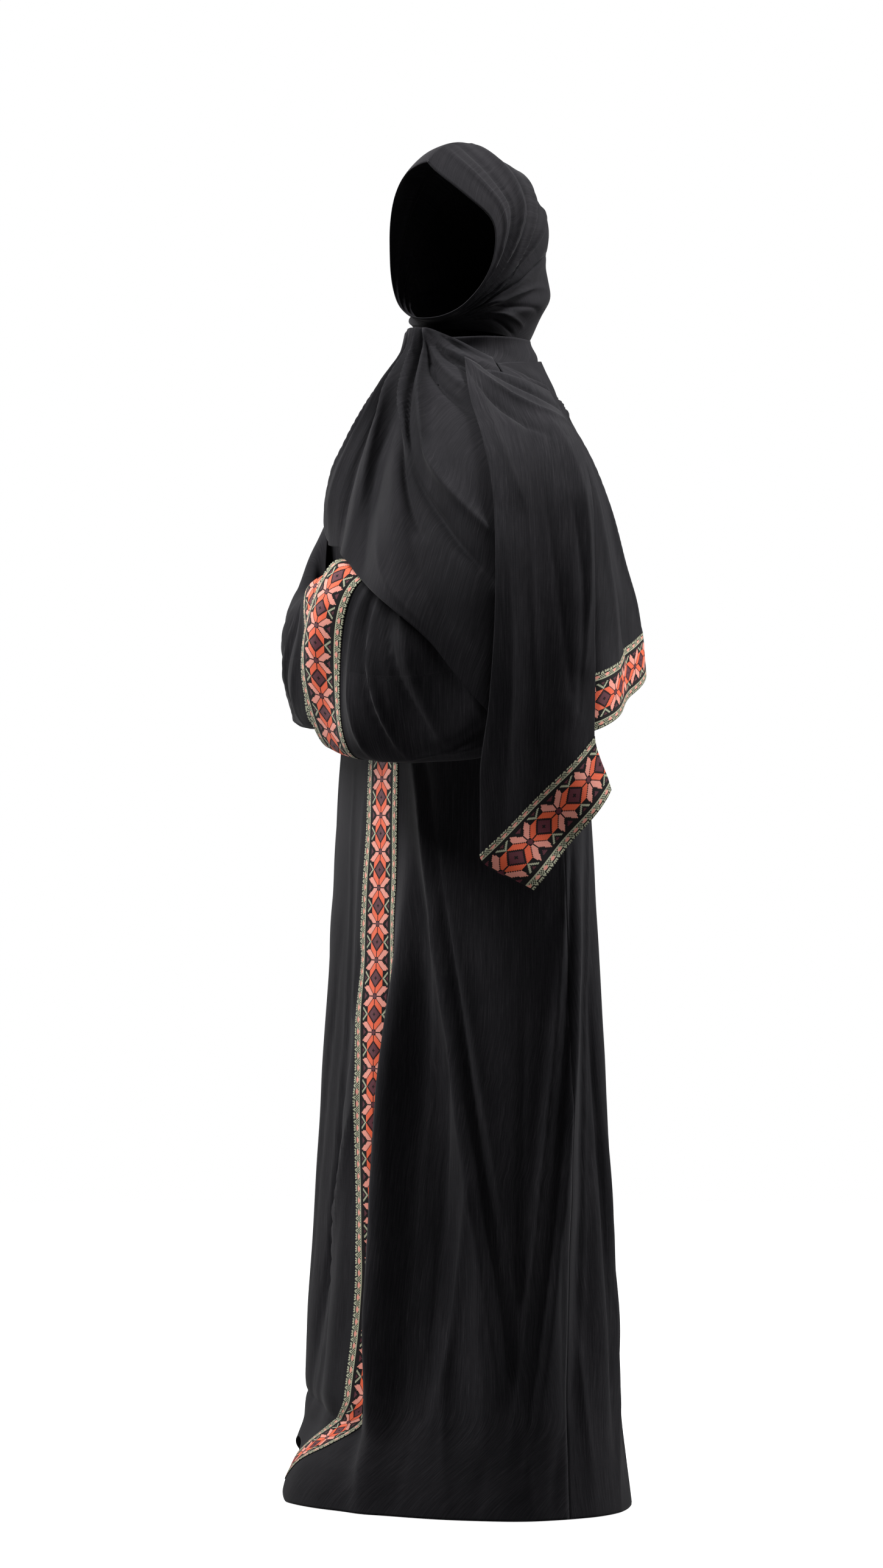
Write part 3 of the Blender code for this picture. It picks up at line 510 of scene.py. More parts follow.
BODY_SCALE = 0.0038
BODY_CREASES = (
    (21.5, 900, 66, 180, 12, -12, -3),
    (17.5, 900, 61.5, 160, 13, 10, -3),
    (26.5, 840, 71, 200, 12, 7, -3),
    (95, 780, 70, 60, 11, -11, 0),
    (91, 780, 66.5, 80, 11, 9, 0),
    (99.5, 740, 75, 80, 11, 5, 0),
    (49.5, 420, 38.5, 100, 11, 6, 0),
    (37.5, 620, 35.5, 100, 12, -6, 3),
    (31, 740, 28, 140, 11, 4.4, 3),
    (68, 620, 69.5, 260, 10, -4, 3),
    (16.5, 600, 22.5, 110, 10, 4.4, -3),
    (118, 440, 124, 50, 11, 7, 0),
    (112, 620, 117, 80, 11, -6, 3),
    (-12, 840, -14, 160, 7, 3.6, 4),
    (-9, 660, -30, 120, 10, -8, 4),
    (-6, 500, -24, 120, 9, 6, 4),
    (13, 130, 17, 0, 12, 6, 0),
    (31, 80, 27, 0, 11, -5, 0),
    (41, 190, 46, 0, 13, 6, 2),
    (58, 70, 55, 0, 11, -5, 0),
    (69, 160, 75, 0, 13, 7, 0),
    (87, 100, 83, 0, 12, -6, 2),
    (97, 220, 102, 0, 12, 5, -2),
    (122, 120, 118, 0, 13, 6, 0),
    (138, 260, 142, 0, 12, -5, 3),
    (160, 90, 156, 0, 13, 6, 0),
    (-178, 200, 176, 0, 12, -5, -2),
    (-160, 140, -164, 0, 13, 6, 0),
    (-136, 240, -140, 0, 12, -5, 3),
    (-112, 80, -116, 0, 13, 6, 0),
    (-86, 180, -90, 0, 12, -5, 2),
    (-62, 110, -66, 0, 13, 5, 0),
    (-22, 880, -28, 140, 7, 3, -4),
    (-28, 700, -36, 200, 7, -2.6, 6),
    (-40, 920, -50, 100, 10, 3.6, 6),
    (-46, 860, -58, 140, 11, -3.6, 6),
    (-66, 980, -72, 120, 10, 3.4, -6),
    (-74, 900, -82, 100, 11, -3.8, 8),
    (-92, 980, -96, 80, 12, 4.2, 6),
    (-101, 920, -108, 120, 10, -3.6, 6),
    (-118, 1020, -122, 100, 11, 4, -8),
    (-127, 940, -134, 120, 10, -3.6, 6),
    (-145, 1060, -146, 80, 12, 4.4, 8),
    (-153, 980, -157, 140, 9, -3.4, -6),
    (-170, 1040, -172, 100, 11, 4, 6),
    (178, 980, 176, 120, 11, -4, -8),
    (164, 1000, 158, 100, 12, 4.4, 8),
    (155, 940, 147, 100, 10, -3.8, -6),
    (142, 980, 128, 120, 11, 4, 8),
    (132, 900, 114, 100, 11, -4, -8),
    (120, 920, 98, 120, 10, 3.4, 6),
    (84, 500, 90, 80, 9, -2.8, 6),
    (52, 360, 58, 70, 8, 2.4, 4),
    (-58, 1270, -38, 1080, 10, 3.2, 8),
    (-52, 1250, -30, 1040, 10, -3, 8),
    (58, 1260, 40, 1060, 10, -2.6, -8),
    (-126, 1270, -150, 1080, 11, 3.6, -8),
    (-134, 1250, -162, 1120, 10, -3.2, -8),
    (128, 1260, 150, 1080, 11, 3.6, 8),
    (-170, 1220, 150, 1140, 12, -3, -12),
)
SLEEVE_LENGTH = 0.56
SLEEVE_SCALE = 0.0019
SLEEVE_CREASES = (
    (84, 470, -20, 505, 6.3, -5, 4),
    (82, 448, -70, 462, 9, 10, 8),
    (80, 436, -60, 440, 8.5, -10, 10),
    (78, 424, -84, 404, 10, 10, 12),
    (74, 412, -50, 376, 8.5, -10, 10),
    (70, 398, -76, 350, 10, 9, 12),
    (66, 380, -40, 326, 9, -8.6, 10),
    (60, 356, -64, 300, 11, 7.6, 10),
    (54, 336, -20, 282, 9, -6.4, 8),
    (40, 310, -50, 250, 11, 6, 8),
    (-84, 400, -60, 250, 9, 5.4, -8),
    (-74, 330, -30, 200, 9.9, -5.8, -10),
    (-88, 240, -38, 110, 9, -4.8, -8),
    (60, 230, 20, 110, 9, -4.8, 6),
    (100, 462, 240, 464, 8.5, 8, 8),
    (104, 440, 226, 420, 9, -8, 10),
    (106, 420, 250, 380, 10, 7.6, 10),
    (108, 396, 214, 340, 9, -7, 10),
    (112, 366, 238, 300, 10, 6, 10),
    (116, 336, 196, 250, 10, -5, 8),
)
HOOD_SCALE = 0.0018
HOOD_RISE = 0.0040
HOOD_CREASES = (
    (86, 30, -56, 12, 4.5, 3.6, 10),
    (84, 52, -60, 22, 5.4, -4.5, 16),
    (86, 78, -58, 34, 6.7, 6, 20),
    (82, 102, -60, 46, 6.3, -6.6, 22),
    (78, 128, -60, 58, 7.2, 6.9, 24),
    (70, 150, -62, 70, 6.3, -6, 22),
    (58, 178, -60, 86, 7.2, 5.4, 20),
    (36, 225, -64, 110, 7.2, -5.4, 18),
    (20, 270, -66, 135, 8.1, 5.4, 14),
    (6, 310, -66, 170, 7.2, -5.1, 10),
    (-4, 350, -60, 215, 7.2, 4.5, 8),
    (-10, 385, -56, 270, 6.3, -4.5, 6),
    (96, 60, 238, 20, 5.9, -4.5, -16),
    (98, 92, 236, 40, 7.2, 6, -20),
    (104, 130, 238, 60, 7.2, -6, -22),
    (116, 170, 240, 85, 7.7, 6, -20),
    (136, 220, 242, 115, 7.7, -5.4, -16),
    (156, 275, 244, 150, 8.1, 5.1, -12),
    (176, 330, 240, 200, 7.2, -4.5, -8),
)
SCARF_SCALE = 0.0030
SCARF_CREASES = (
    (10, 1410, 48, 1170, 7, -14, -10),
    (15.5, 1412, 52, 1200, 8, 18, 0),
    (21, 1416, 66, 1110, 7.5, -15, 6),
    (27, 1414, 69, 1150, 9.5, 16, 8),
    (24, 1424, 82, 1350, 6, -7, 6),
    (22, 1420, 84, 1368, 5.5, 6, 6),
    (30, 1426, 84, 1384, 5, -5, 6),
    (25, 1416, 82, 1318, 6.5, 6, 8),
    (28, 1408, 72, 1300, 7, -7, 10),
    (2, 1410, 20, 1200, 8, 7, -8),
    (-6, 1408, 2, 1185, 8, -6, 4),
    (-9, 1408, -12, 1180, 8, 6, 4),
    (-15, 1400, -26, 1190, 8, -6, 4),
    (-22, 1395, -42, 1215, 8, 5.6, 6),
    (-30, 1390, -56, 1250, 8, -4.8, 4),
    (-42, 1385, -72, 1300, 7, 4, 2),
    (20, 1300, 30, 1130, 9, -4, 6),
    (44, 1190, 60, 1040, 9, -3.6, 6),
    (34, 1170, 50, 1060, 8, 3, 6),
)
NEAR_END_CREASES = (
    (66, 1388, 100, 1322, 5.5, -6, 2),
    (64, 1376, 96, 1300, 6, 5.6, 4),
    (64, 1364, 84, 1286, 6, -6, 4),
    (68, 1340, 74, 1200, 8, 5, 2),
    (80, 1326, 82, 980, 8, -5, 4),
    (88, 1300, 85, 1010, 7, 5.6, -4),
    (84.5, 1270, 84, 960, 6, -3.6, -4),
    (76, 1300, 76, 900, 9, 3, 4),
    (68.5, 1180, 68, 830, 7, 2.6, -4),
)
FAR_END_CREASES = (
    (88, 1376, 150, 1330, 6, -5, 4),
    (90, 1368, 140, 1310, 6, 5, 4),
    (92, 1350, 98, 1010, 8, 6, 6),
    (98, 1350, 108, 1020, 8, -6, 6),
    (106, 1346, 120, 1040, 9, 6, 6),
    (116, 1350, 132, 1060, 9, -5.6, 8),
    (130, 1350, 144, 1090, 9, 5.6, 8),
    (148, 1350, 150, 1130, 9, -5, 6),
    (168, 1350, 160, 1180, 8, 4.6, 4),
)


def body_relief(angle, height, points):
    """Calm under the scarf at the shoulders, and less deep where the hem meets the floor."""
    creases = crease_field(angle, height, BODY_CREASES, BODY_SCALE)
    calm = ease((1.33 - height) / 0.10)
    near_floor = 0.40 + 0.60 * ease(height / 0.20)
    return (creases * near_floor + unevenness(points, 0.070, 0.0011)) * calm


def sleeve_relief(turn, station, points):
    """Calm at the armhole, the cuff and the lower edge, and half as deep on the hidden sleeve."""
    creases = crease_field(turn, station * SLEEVE_LENGTH, SLEEVE_CREASES, SLEEVE_SCALE)
    from_keel = np.abs(wrapped(turn + 90.0))
    creases = creases * (0.12 + 0.88 * ease(from_keel / 42.0))
    creases = creases * (0.50 + 0.50 * ease((points[..., 0] + 0.05) / 0.05))
    calm = ease(station / 0.12) * (1.0 - 0.95 * ease((station - 0.68) / 0.14))
    return (creases + unevenness(points, 0.050, 0.0010)) * calm


def hood_relief(turn, tilt, points):
    creases = crease_field(turn, tilt * HOOD_RISE, HOOD_CREASES, HOOD_SCALE)
    free = 0.35 + 0.65 * ease(tilt / 6.0)
    return creases * free + unevenness(points, 0.040, 0.0007)


def scarf_relief(creases):
    def relief(column, row, points):
        angle = np.degrees(np.arctan2(points[..., 0], -points[..., 1]))
        made = crease_field(angle, points[..., 2], creases, SCARF_SCALE)
        return made + unevenness(points, 0.050, 0.0008)
    return relief


def wrap_relief(angle, step, points):
    return 0.0012 * np.sin(step * 11.0 + np.radians(angle) * 1.5)


def ring(count):
    """Equal steps once round, without the last, which is the first again."""
    return np.linspace(0.0, 360.0, count + 1)[:-1]


def run_along(points, axis=0):
    """Distances run along a line of points, or one axis of a grid."""
    return added_up(np.linalg.norm(np.diff(points, axis=axis), axis=-1), axis)


def hem_rows(count, hem_count):
    """Heights from the neck down to the pool, then the hem steps below it."""
    high = np.linspace(NECK_HEIGHT, POOL_HEIGHT, count)
    return np.concatenate([high, -np.linspace(0.0, 1.0, hem_count + 1)[1:]])


def shaped(point, columns, rows, closed, flip, place, relief):
    """Points and outward directions of a piece on a fine grid, with its creases."""
    grid_rows, grid_columns = np.meshgrid(rows, columns, indexing="ij")
    if place:
        grid_columns, grid_rows = place(grid_columns, grid_rows)
    form = point(grid_columns, grid_rows)
    out = normals(point, grid_columns, grid_rows, closed, flip)
    return form + out * relief(grid_columns, grid_rows, form)[..., None], out


def point_grid(rows, columns, closed):
    """A grid of point numbers, its first column again at the end if it closes."""
    grid = np.arange(rows * columns).reshape(rows, columns)
    return np.column_stack([grid, grid[:, 0]]) if closed else grid


def grid_faces(grid):
    corners = (grid[:-1, :-1], grid[:-1, 1:], grid[1:, 1:], grid[1:, :-1])
    return np.stack(corners, axis=-1).reshape(-1, 4)


def rim_faces(grid, closed, under):
    """The faces round a grid's edge, down to the points under it."""
    lines = [(grid[0], 1), (grid[-1], -1)]
    if not closed:
        lines += [(grid[:, 0], -1), (grid[:, -1], 1)]
    return np.concatenate([
        np.stack([line[:-1], under[line[:-1]], under[line[1:]], line[1:]], axis=-1)[:, ::way]
        for line, way in lines])


def show(name, data):
    thing = bpy.data.objects.new(name, data)
    bpy.context.scene.collection.objects.link(thing)
    return thing


def finish_mesh(name, vertices, faces, uvs, out, uv_name="cloth"):
    """A smooth mesh above the floor, its faces turned outwards."""
    mesh = bpy.data.meshes.new(name)
    mesh.from_pydata((vertices + np.array([0.0, 0.0, FLOOR])).tolist(), [], faces.tolist())
    mesh.update()
    layer = mesh.uv_layers.new(name=uv_name)
    corners = np.empty(len(mesh.loops), dtype=np.int32)
    mesh.loops.foreach_get("vertex_index", corners)
    layer.data.foreach_set("uv", uvs[corners].astype(np.float32).ravel())
    mesh.shade_smooth()
    if np.dot(np.array(mesh.polygons[0].normal), out[0, 0]) < 0:
        mesh.flip_normals()
    return show(name, mesh)


def shell(name, point, columns, rows, closed=False, flip=1.0, place=None, relief=None, upright=False):
    """A thin closed cloth over a form: outer side, inner side and the rims between."""
    outer_side, out = shaped(point, columns, rows, closed, flip, place, relief)
    inner_side = outer_side - out * SHELL
    count_rows, count_columns = outer_side.shape[:2]
    count = count_rows * count_columns
    vertices = np.concatenate([outer_side.reshape(-1, 3), inner_side.reshape(-1, 3)])
    across = run_along(outer_side, 1)
    across = across - across[:, [count_columns // 2]]
    along = run_along(outer_side).mean(axis=1)[:, None] + 0.0 * across
    uvs = np.stack([along, across] if upright else [across, along], axis=-1).reshape(-1, 2)
    grid = point_grid(count_rows, count_columns, closed)
    faces = np.concatenate([grid_faces(grid), grid_faces(grid + count)[:, ::-1],
                            rim_faces(grid, closed, np.arange(count) + count)])
    return finish_mesh(name, vertices, faces, np.concatenate([uvs, uvs]), out)


# The stitched band, charted. One letter is one stitch: o orange, p pink, m maroon,
# s sage and a dot for bare cloth. The star is a quarter, mirrored both ways about its centre.
STAR_QUARTER = (
    "mmm........mmm..",
    "mm.ppppp....mm..",
    "m..pppppp....m..",
    ".oo.pppppp......",
    ".ooo.ppppppp....",
    ".oooo.ppppppp...",
    ".ooooo.ppppppp..",
    ".oooooo.ppppppp.",
    "..oooooo.pppp...",
    "m..oooooo.......",
    "mm..ooooo.....s.",
    "mmm..oooo....ss.",
    "mmmm..ooo...ss..",
    "mmmmm..oo..ss...",
    ".mmmmm..o.ss..m.",
    "..mmmmm..ss..mm.",
)
BORDER = (
    "sppp.ss",
    "sspp.s.",
    "s.ps.ss",
    "ss.s...",
    "s.s.ss.",
    "ss.s.ss",
    "s.s.ss.",
    "ss.s...",
    "s.ps.ss",
    "sspp.s.",
)
HALF_FIELD = len(STAR_QUARTER) - 1
STAR_REPEAT = 2 * HALF_FIELD
BARE_LINE = 2
BAND_CELLS = 2 * (HALF_FIELD + BARE_LINE + len(BORDER[0])) + 1
# Each letter stands for the thread at the same place.
LETTERS = ".opms"
THREADS = ("ground", "orange", "pink", "maroon", "sage")
# How far the stitches' backs sink into the cloth.
STITCH_SINK = 0.0002


def stitch_at(row, column):
    """The thread of a stitch; column 0 is the band's middle."""
    side = abs(column)
    if side <= HALF_FIELD:
        place = row % STAR_REPEAT
        place = min(place, STAR_REPEAT - place)
        return LETTERS.index(STAR_QUARTER[place][side])
    if side <= HALF_FIELD + BARE_LINE:
        return 0
    return LETTERS.index(BORDER[row % len(BORDER)][side - HALF_FIELD - BARE_LINE - 1])


def hem_row(depth):
    """The row at a depth under the pool's top: a height above it, a negative hem step below."""
    return np.where(depth > 0, -depth, POOL_HEIGHT - depth)


def front_band_rows():
    """Rows a stitch apart along the middle of the front band."""
    rows = hem_rows(40, 10)
    depths = np.where(rows >= 0, POOL_HEIGHT - rows, -rows)
    fine = np.interp(np.linspace(0, len(rows) - 1, 2400), np.arange(len(rows)), depths)
    run = run_along(body_point(*front_place(np.zeros_like(fine), hem_row(fine))))
    count = int(round(run[-1] / STITCH_CELL))
    return hem_row(np.interp(np.linspace(0.0, run[-1], count + 1), run, fine))


def band(name, points, out, across_rows, first=0, closed=False):
    """A stitched strip, one face for each stitch. Its cells run along or across the rows."""
    rows, columns = points.shape[:2]
    grid = point_grid(rows, columns, closed)
    row_steps, column_steps = grid.shape[0] - 1, grid.shape[1] - 1
    kinds = [stitch_at(column + first, row - row_steps // 2) if across_rows
             else stitch_at(row + first, column - column_steps // 2)
             for row in range(row_steps) for column in range(column_steps)]
    uvs = np.stack(np.indices((rows, columns))[::-1], axis=-1).reshape(-1, 2)
    raised = (points + out * BAND_LIFT).reshape(-1, 3)
    edge = np.ones((rows, columns), dtype=bool)
    edge[1:-1, slice(None) if closed else slice(1, -1)] = False
    rim = np.where(edge.ravel())[0]
    under = np.zeros(rows * columns, dtype=int)
    under[rim] = rows * columns + np.arange(len(rim))
    base = (points - out * STITCH_SINK).reshape(-1, 3)[rim]
    sides = rim_faces(grid, closed, under)
    thing = finish_mesh(name, np.concatenate([raised, base]), np.concatenate([grid_faces(grid), sides]),
                        np.concatenate([uvs, uvs[rim]]), out, uv_name="stitches")
    for thread_name in THREADS:
        thing.data.materials.append(MATERIALS[thread_name])
    kinds += [0] * len(sides)
    thing.data.polygons.foreach_set("material_index", np.array(kinds, dtype=np.int32))
    return thing


def node(tree, kind, **inputs):
    made = tree.nodes.new(kind)
    for name, value in inputs.items():
        setting = name.replace("_", " ")
        if setting in made.inputs:
            made.inputs[setting].default_value = value
        else:
            setattr(made, name, value)
    return made


def math_node(tree, operation, *values):
    made = node(tree, "ShaderNodeMath", operation=operation)
    for socket, value in zip(made.inputs, values):
        if isinstance(value, (int, float)):
            socket.default_value = value
        else:
            tree.links.new(value, socket)
    return made.outputs[0]


def noise(tree, vector, scale, detail=3.0, roughness=0.55):
    stretched = node(tree, "ShaderNodeVectorMath", operation="MULTIPLY")
    tree.links.new(vector, stretched.inputs[0])
    stretched.inputs[1].default_value = scale
    made = node(tree, "ShaderNodeTexNoise", Scale=1.0, Detail=detail, Roughness=roughness)
    tree.links.new(stretched.outputs[0], made.inputs["Vector"])
    return made.outputs["Fac"]


def ramp(tree, amount, stops):
    made = tree.nodes.new("ShaderNodeValToRGB")
    colours = made.color_ramp.elements
    while len(colours) < len(stops):
        colours.new(0.5)
    for element, (place, colour) in zip(colours, stops):
        element.position = place
        element.color = (*colour, 1.0)
    tree.links.new(amount, made.inputs["Fac"])
    return made.outputs["Color"]


def bump(tree, shader, height, strength, distance):
    made = node(tree, "ShaderNodeBump", Strength=strength, Distance=distance)
    tree.links.new(height, made.inputs["Height"])
    tree.links.new(made.outputs["Normal"], shader.inputs["Normal"])


def uv_of(tree, name):
    return node(tree, "ShaderNodeUVMap", uv_map=name).outputs["UV"]


def cloth_shader(name, roughness, specular, sheen, sheen_roughness, sheen_tint):
    made = bpy.data.materials.new(name)
    made.use_nodes = True
    shader = made.node_tree.nodes["Principled BSDF"]
    for socket, value in (("Roughness", roughness), ("Specular IOR Level", specular), ("Sheen Weight", sheen),
                          ("Sheen Roughness", sheen_roughness), ("Sheen Tint", (*sheen_tint, 1.0))):
        shader.inputs[socket].default_value = value
    return made, made.node_tree, shader


def crepe(name):
    """Matt black crepe: slubs run along the warp, with a pebbled weave under them."""
    made, tree, shader = cloth_shader(name, 0.86, 0.05, 0.03, 0.36, (0.80, 0.78, 0.80))
    uv = uv_of(tree, "cloth")
    slub = noise(tree, uv, (620.0, 16.0, 1.0), 4.0, 0.62)
    fine_slub = noise(tree, uv, (1500.0, 60.0, 1.0), 3.0, 0.6)
    weft = noise(tree, uv, (90.0, 1400.0, 1.0), 2.0, 0.5)
    cloud = noise(tree, uv, (9.0, 5.0, 1.0), 3.0, 0.5)
    streaks = math_node(tree, "MULTIPLY_ADD", slub, 0.62, math_node(tree, "MULTIPLY", fine_slub, 0.38))
    mixed = math_node(tree, "MULTIPLY_ADD", cloud, 0.22, math_node(tree, "MULTIPLY", streaks, 0.78))
    colour = ramp(tree, mixed, (
        (0.34, (0.0030, 0.0029, 0.0036)),
        (0.47, (0.0060, 0.0058, 0.0069)),
        (0.56, (0.0100, 0.0095, 0.0109)),
        (0.68, (0.0200, 0.0189, 0.0212)),
    ))
    tree.links.new(colour, shader.inputs["Base Color"])
    tree.links.new(math_node(tree, "MULTIPLY_ADD", slub, 0.16, 0.76), shader.inputs["Roughness"])
    woven = math_node(tree, "MULTIPLY", weft, 0.5)
    bump(tree, shader, math_node(tree, "ADD", streaks, woven), 0.34, 0.0006)
    return made


def thread(name, colour, hollow_shade):
    """Cross-stitches: each cell holds an X of two-ply thread over the dark cloth."""
    made, tree, shader = cloth_shader(name, 0.62, 0.20, 0.04, 0.35, colour)
    uv = uv_of(tree, "stitches")
    parts = node(tree, "ShaderNodeSeparateXYZ")
    tree.links.new(uv, parts.inputs[0])
    across, along = (math_node(tree, "SUBTRACT", math_node(tree, "FRACT", parts.outputs[axis]), 0.5)
                     for axis in range(2))
    rising = math_node(tree, "ABSOLUTE", math_node(tree, "SUBTRACT", across, along))
    falling = math_node(tree, "ABSOLUTE", math_node(tree, "ADD", across, along))
    nearest = math_node(tree, "MINIMUM", rising, falling)
    body = math_node(tree, "SUBTRACT", 1.0, math_node(tree, "MULTIPLY", nearest, 2.4))
    lifted = math_node(tree, "POWER", math_node(tree, "MAXIMUM", body, 0.0), 0.6)
    ply = noise(tree, uv, (3.0, 3.0, 1.0), 3.0, 0.6)
    # Painted shade: the thread darkens from its own colour on the crest of the X to a dark copy of its hue
    # where it sinks between the arms, with random ply tone mixed in.
    ply_and_shade = math_node(tree, "MULTIPLY_ADD", ply, 0.42, math_node(tree, "MULTIPLY", lifted, 0.62))
    half_shade = tuple(low * 0.35 + high * 0.65 for low, high in zip(hollow_shade, colour))
    shade = ramp(tree, ply_and_shade, ((0.18, hollow_shade), (0.45, half_shade), (0.70, colour)))
    tree.links.new(shade, shader.inputs["Base Color"])
    bump(tree, shader, math_node(tree, "ADD", lifted, ply), 0.55, 0.0005)
    return made


def ground(name):
    """The black cloth that shows between the stitches."""
    made, tree, shader = cloth_shader(name, 0.84, 0.06, 0.02, 0.4, (0.8, 0.78, 0.8))
    grain = noise(tree, uv_of(tree, "stitches"), (2.2, 2.2, 1.0), 3.0, 0.6)
    colour = ramp(tree, grain, ((0.30, (0.0040, 0.0037, 0.0040)), (0.70, (0.0110, 0.0100, 0.0104))))
    tree.links.new(colour, shader.inputs["Base Color"])
    bump(tree, shader, grain, 0.4, 0.0004)
    return made


CREPE = crepe("black_crepe")
# Each thread gets its colour and a dark copy of that colour; the dark copy is painted shade for the hollows
# of its stitches.
MATERIALS = {
    "ground": ground("band_ground"),
    "orange": thread("thread_orange", (0.560, 0.080, 0.026), (0.140, 0.014, 0.006)),
    "pink": thread("thread_pink", (0.560, 0.215, 0.165), (0.150, 0.048, 0.038)),
    "maroon": thread("thread_maroon", (0.062, 0.0045, 0.0120), (0.013, 0.0016, 0.0036)),
    "sage": thread("thread_sage", (0.280, 0.285, 0.195), (0.058, 0.060, 0.042)),
}


def cloth_piece(name, covers, flat, held, rests_on, with_pieces, **form):
    thing = shell(name, **form)
    thing.data.materials.append(CREPE)
    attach(thing, "root")
    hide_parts(covers)


def band_piece(name, covers, points, out, **settings):
    thing = band(name, points, out, **settings)
    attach(thing, "root")
    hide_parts(covers)
    return thing


FRONT_FLAT = (0.31, 1.42)
BODY_ROWS = 190
HEM_ROWS = 42
PANEL_COLUMNS = 144
BAND_STARTS_AT = 9


def dress_body():
    rows = hem_rows(BODY_ROWS, HEM_ROWS)
    columns = np.linspace(-90.0, 90.0, PANEL_COLUMNS + 1)
    band_columns = np.linspace(-BAND_EDGE_ANGLE, BAND_EDGE_ANGLE, BAND_CELLS + 1)
    points, out = shaped(body_point, band_columns, front_band_rows(), False, 1.0, front_place, body_relief)
    strip = band_piece("centre_band_stitched", "centre_front_band", points, out, across_rows=False,
                       first=BAND_STARTS_AT)
    middle = PANEL_COLUMNS // 2
    panels = (
        ("front_cloth_left", "front_left", FRONT_FLAT, "shoulders", [strip], columns[middle:], front_place),
        ("front_cloth_right", "front_right", FRONT_FLAT, "shoulders", [], columns[:middle + 1], front_place),
        ("back_cloth", "back", (0.62, 1.40), "front_cloth_left", [], columns + 180.0, back_place),
    )
    for name, covers, flat, below, strips, across, place in panels:
        cloth_piece(name, covers, flat, "hung", [below], strips, point=body_point, columns=across,
                    rows=rows, place=place, relief=body_relief)


SLEEVE_COLUMN_COUNT = 160
ARM_ROWS = 96
CUFF_ROWS = 18


def dress_sleeves():
    sides = (("left", LEFT_SLEEVE, 1.0, (0.52, 0.46)), ("right", RIGHT_SLEEVE, -1.0, (0.43, 0.43)))
    for name, table, side, flat in sides:
        point = partial(sleeve_point, table, side)
        start = cuff_start(table)
        rows = np.concatenate([np.linspace(0.0, start, ARM_ROWS), np.linspace(start, 1.0, CUFF_ROWS)[1:]])
        turns = even_turns(point)
        cuff_rows = even_cuff_rows(point, turns, np.linspace(start, 1.0, BAND_CELLS + 1))
        points, out = shaped(point, turns, cuff_rows, True, side, None, sleeve_relief)
        strip = band_piece("cuff_stitched_" + name, "cuff_band_" + name, points, out, across_rows=True,
                           closed=True)
        cloth_piece("sleeve_cloth_" + name, "sleeve_" + name, flat, "hung", ["front_cloth_" + name],
                    [strip], point=point, columns=ring(SLEEVE_COLUMN_COUNT), rows=rows, closed=True,
                    flip=side, relief=sleeve_relief, upright=True)


def even_turns(point):
    """Turns an equal way apart round the cuff, for whole stars of equal stitches."""
    fine = np.linspace(0.0, 360.0, 1441)
    run = run_along(point(fine, np.ones_like(fine)))
    stitches = STAR_REPEAT * int(round(run[-1] / (STAR_REPEAT * STITCH_CELL)))
    return np.interp(np.linspace(0.0, run[-1], stitches + 1)[:-1], run, fine)


def even_cuff_rows(point, turns, stations):
    """Rows an equal way apart along the cuff, taken over the whole way round it."""
    grid = point(turns[None, :], stations[:, None] + 0.0 * turns[None, :])
    step = np.linalg.norm(np.diff(grid, axis=0), axis=2).mean(axis=1)
    run = added_up(step)
    return np.interp(np.linspace(0.0, run[-1], len(stations)), run, stations)


# Columns and rows of the scarf's grids.
HOOD_GRID = (160, 110)
WRAP_GRID = (144, 26)
CHEST_GRID = (190, 110)
END_GRID = (110, 130)


def dress_scarf():
    pieces = (
        ("hood_cloth", "scarf_hood", (0.50, 0.28), "shoulders", hood_point, ring(HOOD_GRID[0]),
         np.linspace(0.0, 100.0, HOOD_GRID[1]), True, hood_relief),
        ("neck_cloth", "scarf_neck_wrap", (0.62, 0.075), "back_cloth", wrap_point,
         WRAP_FIRST_ANGLE + ring(WRAP_GRID[0]), np.linspace(0.0, 1.0, WRAP_GRID[1]), True, wrap_relief),
        ("chest_cloth", "scarf_chest_sheet", (0.58, 0.34), "neck_cloth", chest_point,
         np.linspace(-98.0, 82.0, CHEST_GRID[0]), np.linspace(0.0, 1.0, CHEST_GRID[1]), False,
         scarf_relief(SCARF_CREASES)),
    )
    for name, covers, flat, below, point, columns, rows, closed, relief in pieces:
        cloth_piece(name, covers, flat, "draped", [below], [], point=point, columns=columns, rows=rows,
                    closed=closed, flip=-1.0, relief=relief)
    ends = (("near", NEAR_END, 3.0, NEAR_BAND_START, NEAR_END_CREASES, (0.15, 0.64), "chest_cloth"),
            ("far", FAR_END, 4.0, FAR_BAND_START, FAR_END_CREASES, (0.36, 0.42), "back_cloth"))
    for name, table, waves, band_start, creases, flat, below in ends:
        point = partial(end_point, table, waves)
        relief = scarf_relief(creases)
        band_rows = np.linspace(band_start, 1.0, BAND_CELLS + 1)
        length = run_along(point(np.linspace(0.0, 1.0, 400), np.ones(400)))[-1]
        columns = np.linspace(0.0, 1.0, int(round(length / STITCH_CELL)) + 1)
        points, out = shaped(point, columns, band_rows, False, -1.0, None, relief)
        strip = band_piece("end_stitched_" + name, "scarf_band_" + name, points, out, across_rows=True)
        cloth_piece("end_cloth_" + name, "scarf_end_" + name, flat, "draped", [below], [strip],
                    point=point, columns=np.linspace(0.0, 1.0, END_GRID[0]),
                    rows=np.linspace(0.0, 1.0, END_GRID[1]), flip=-1.0, relief=relief)


CAMERA_DISTANCE = 7.0
CAMERA_HEIGHT = 0.870
CAMERA_AZIMUTH = 60.0
CAMERA_SHIFT_LEFT = 0.026
VIEW_HEIGHT = 1.914
SENSOR = 36.0


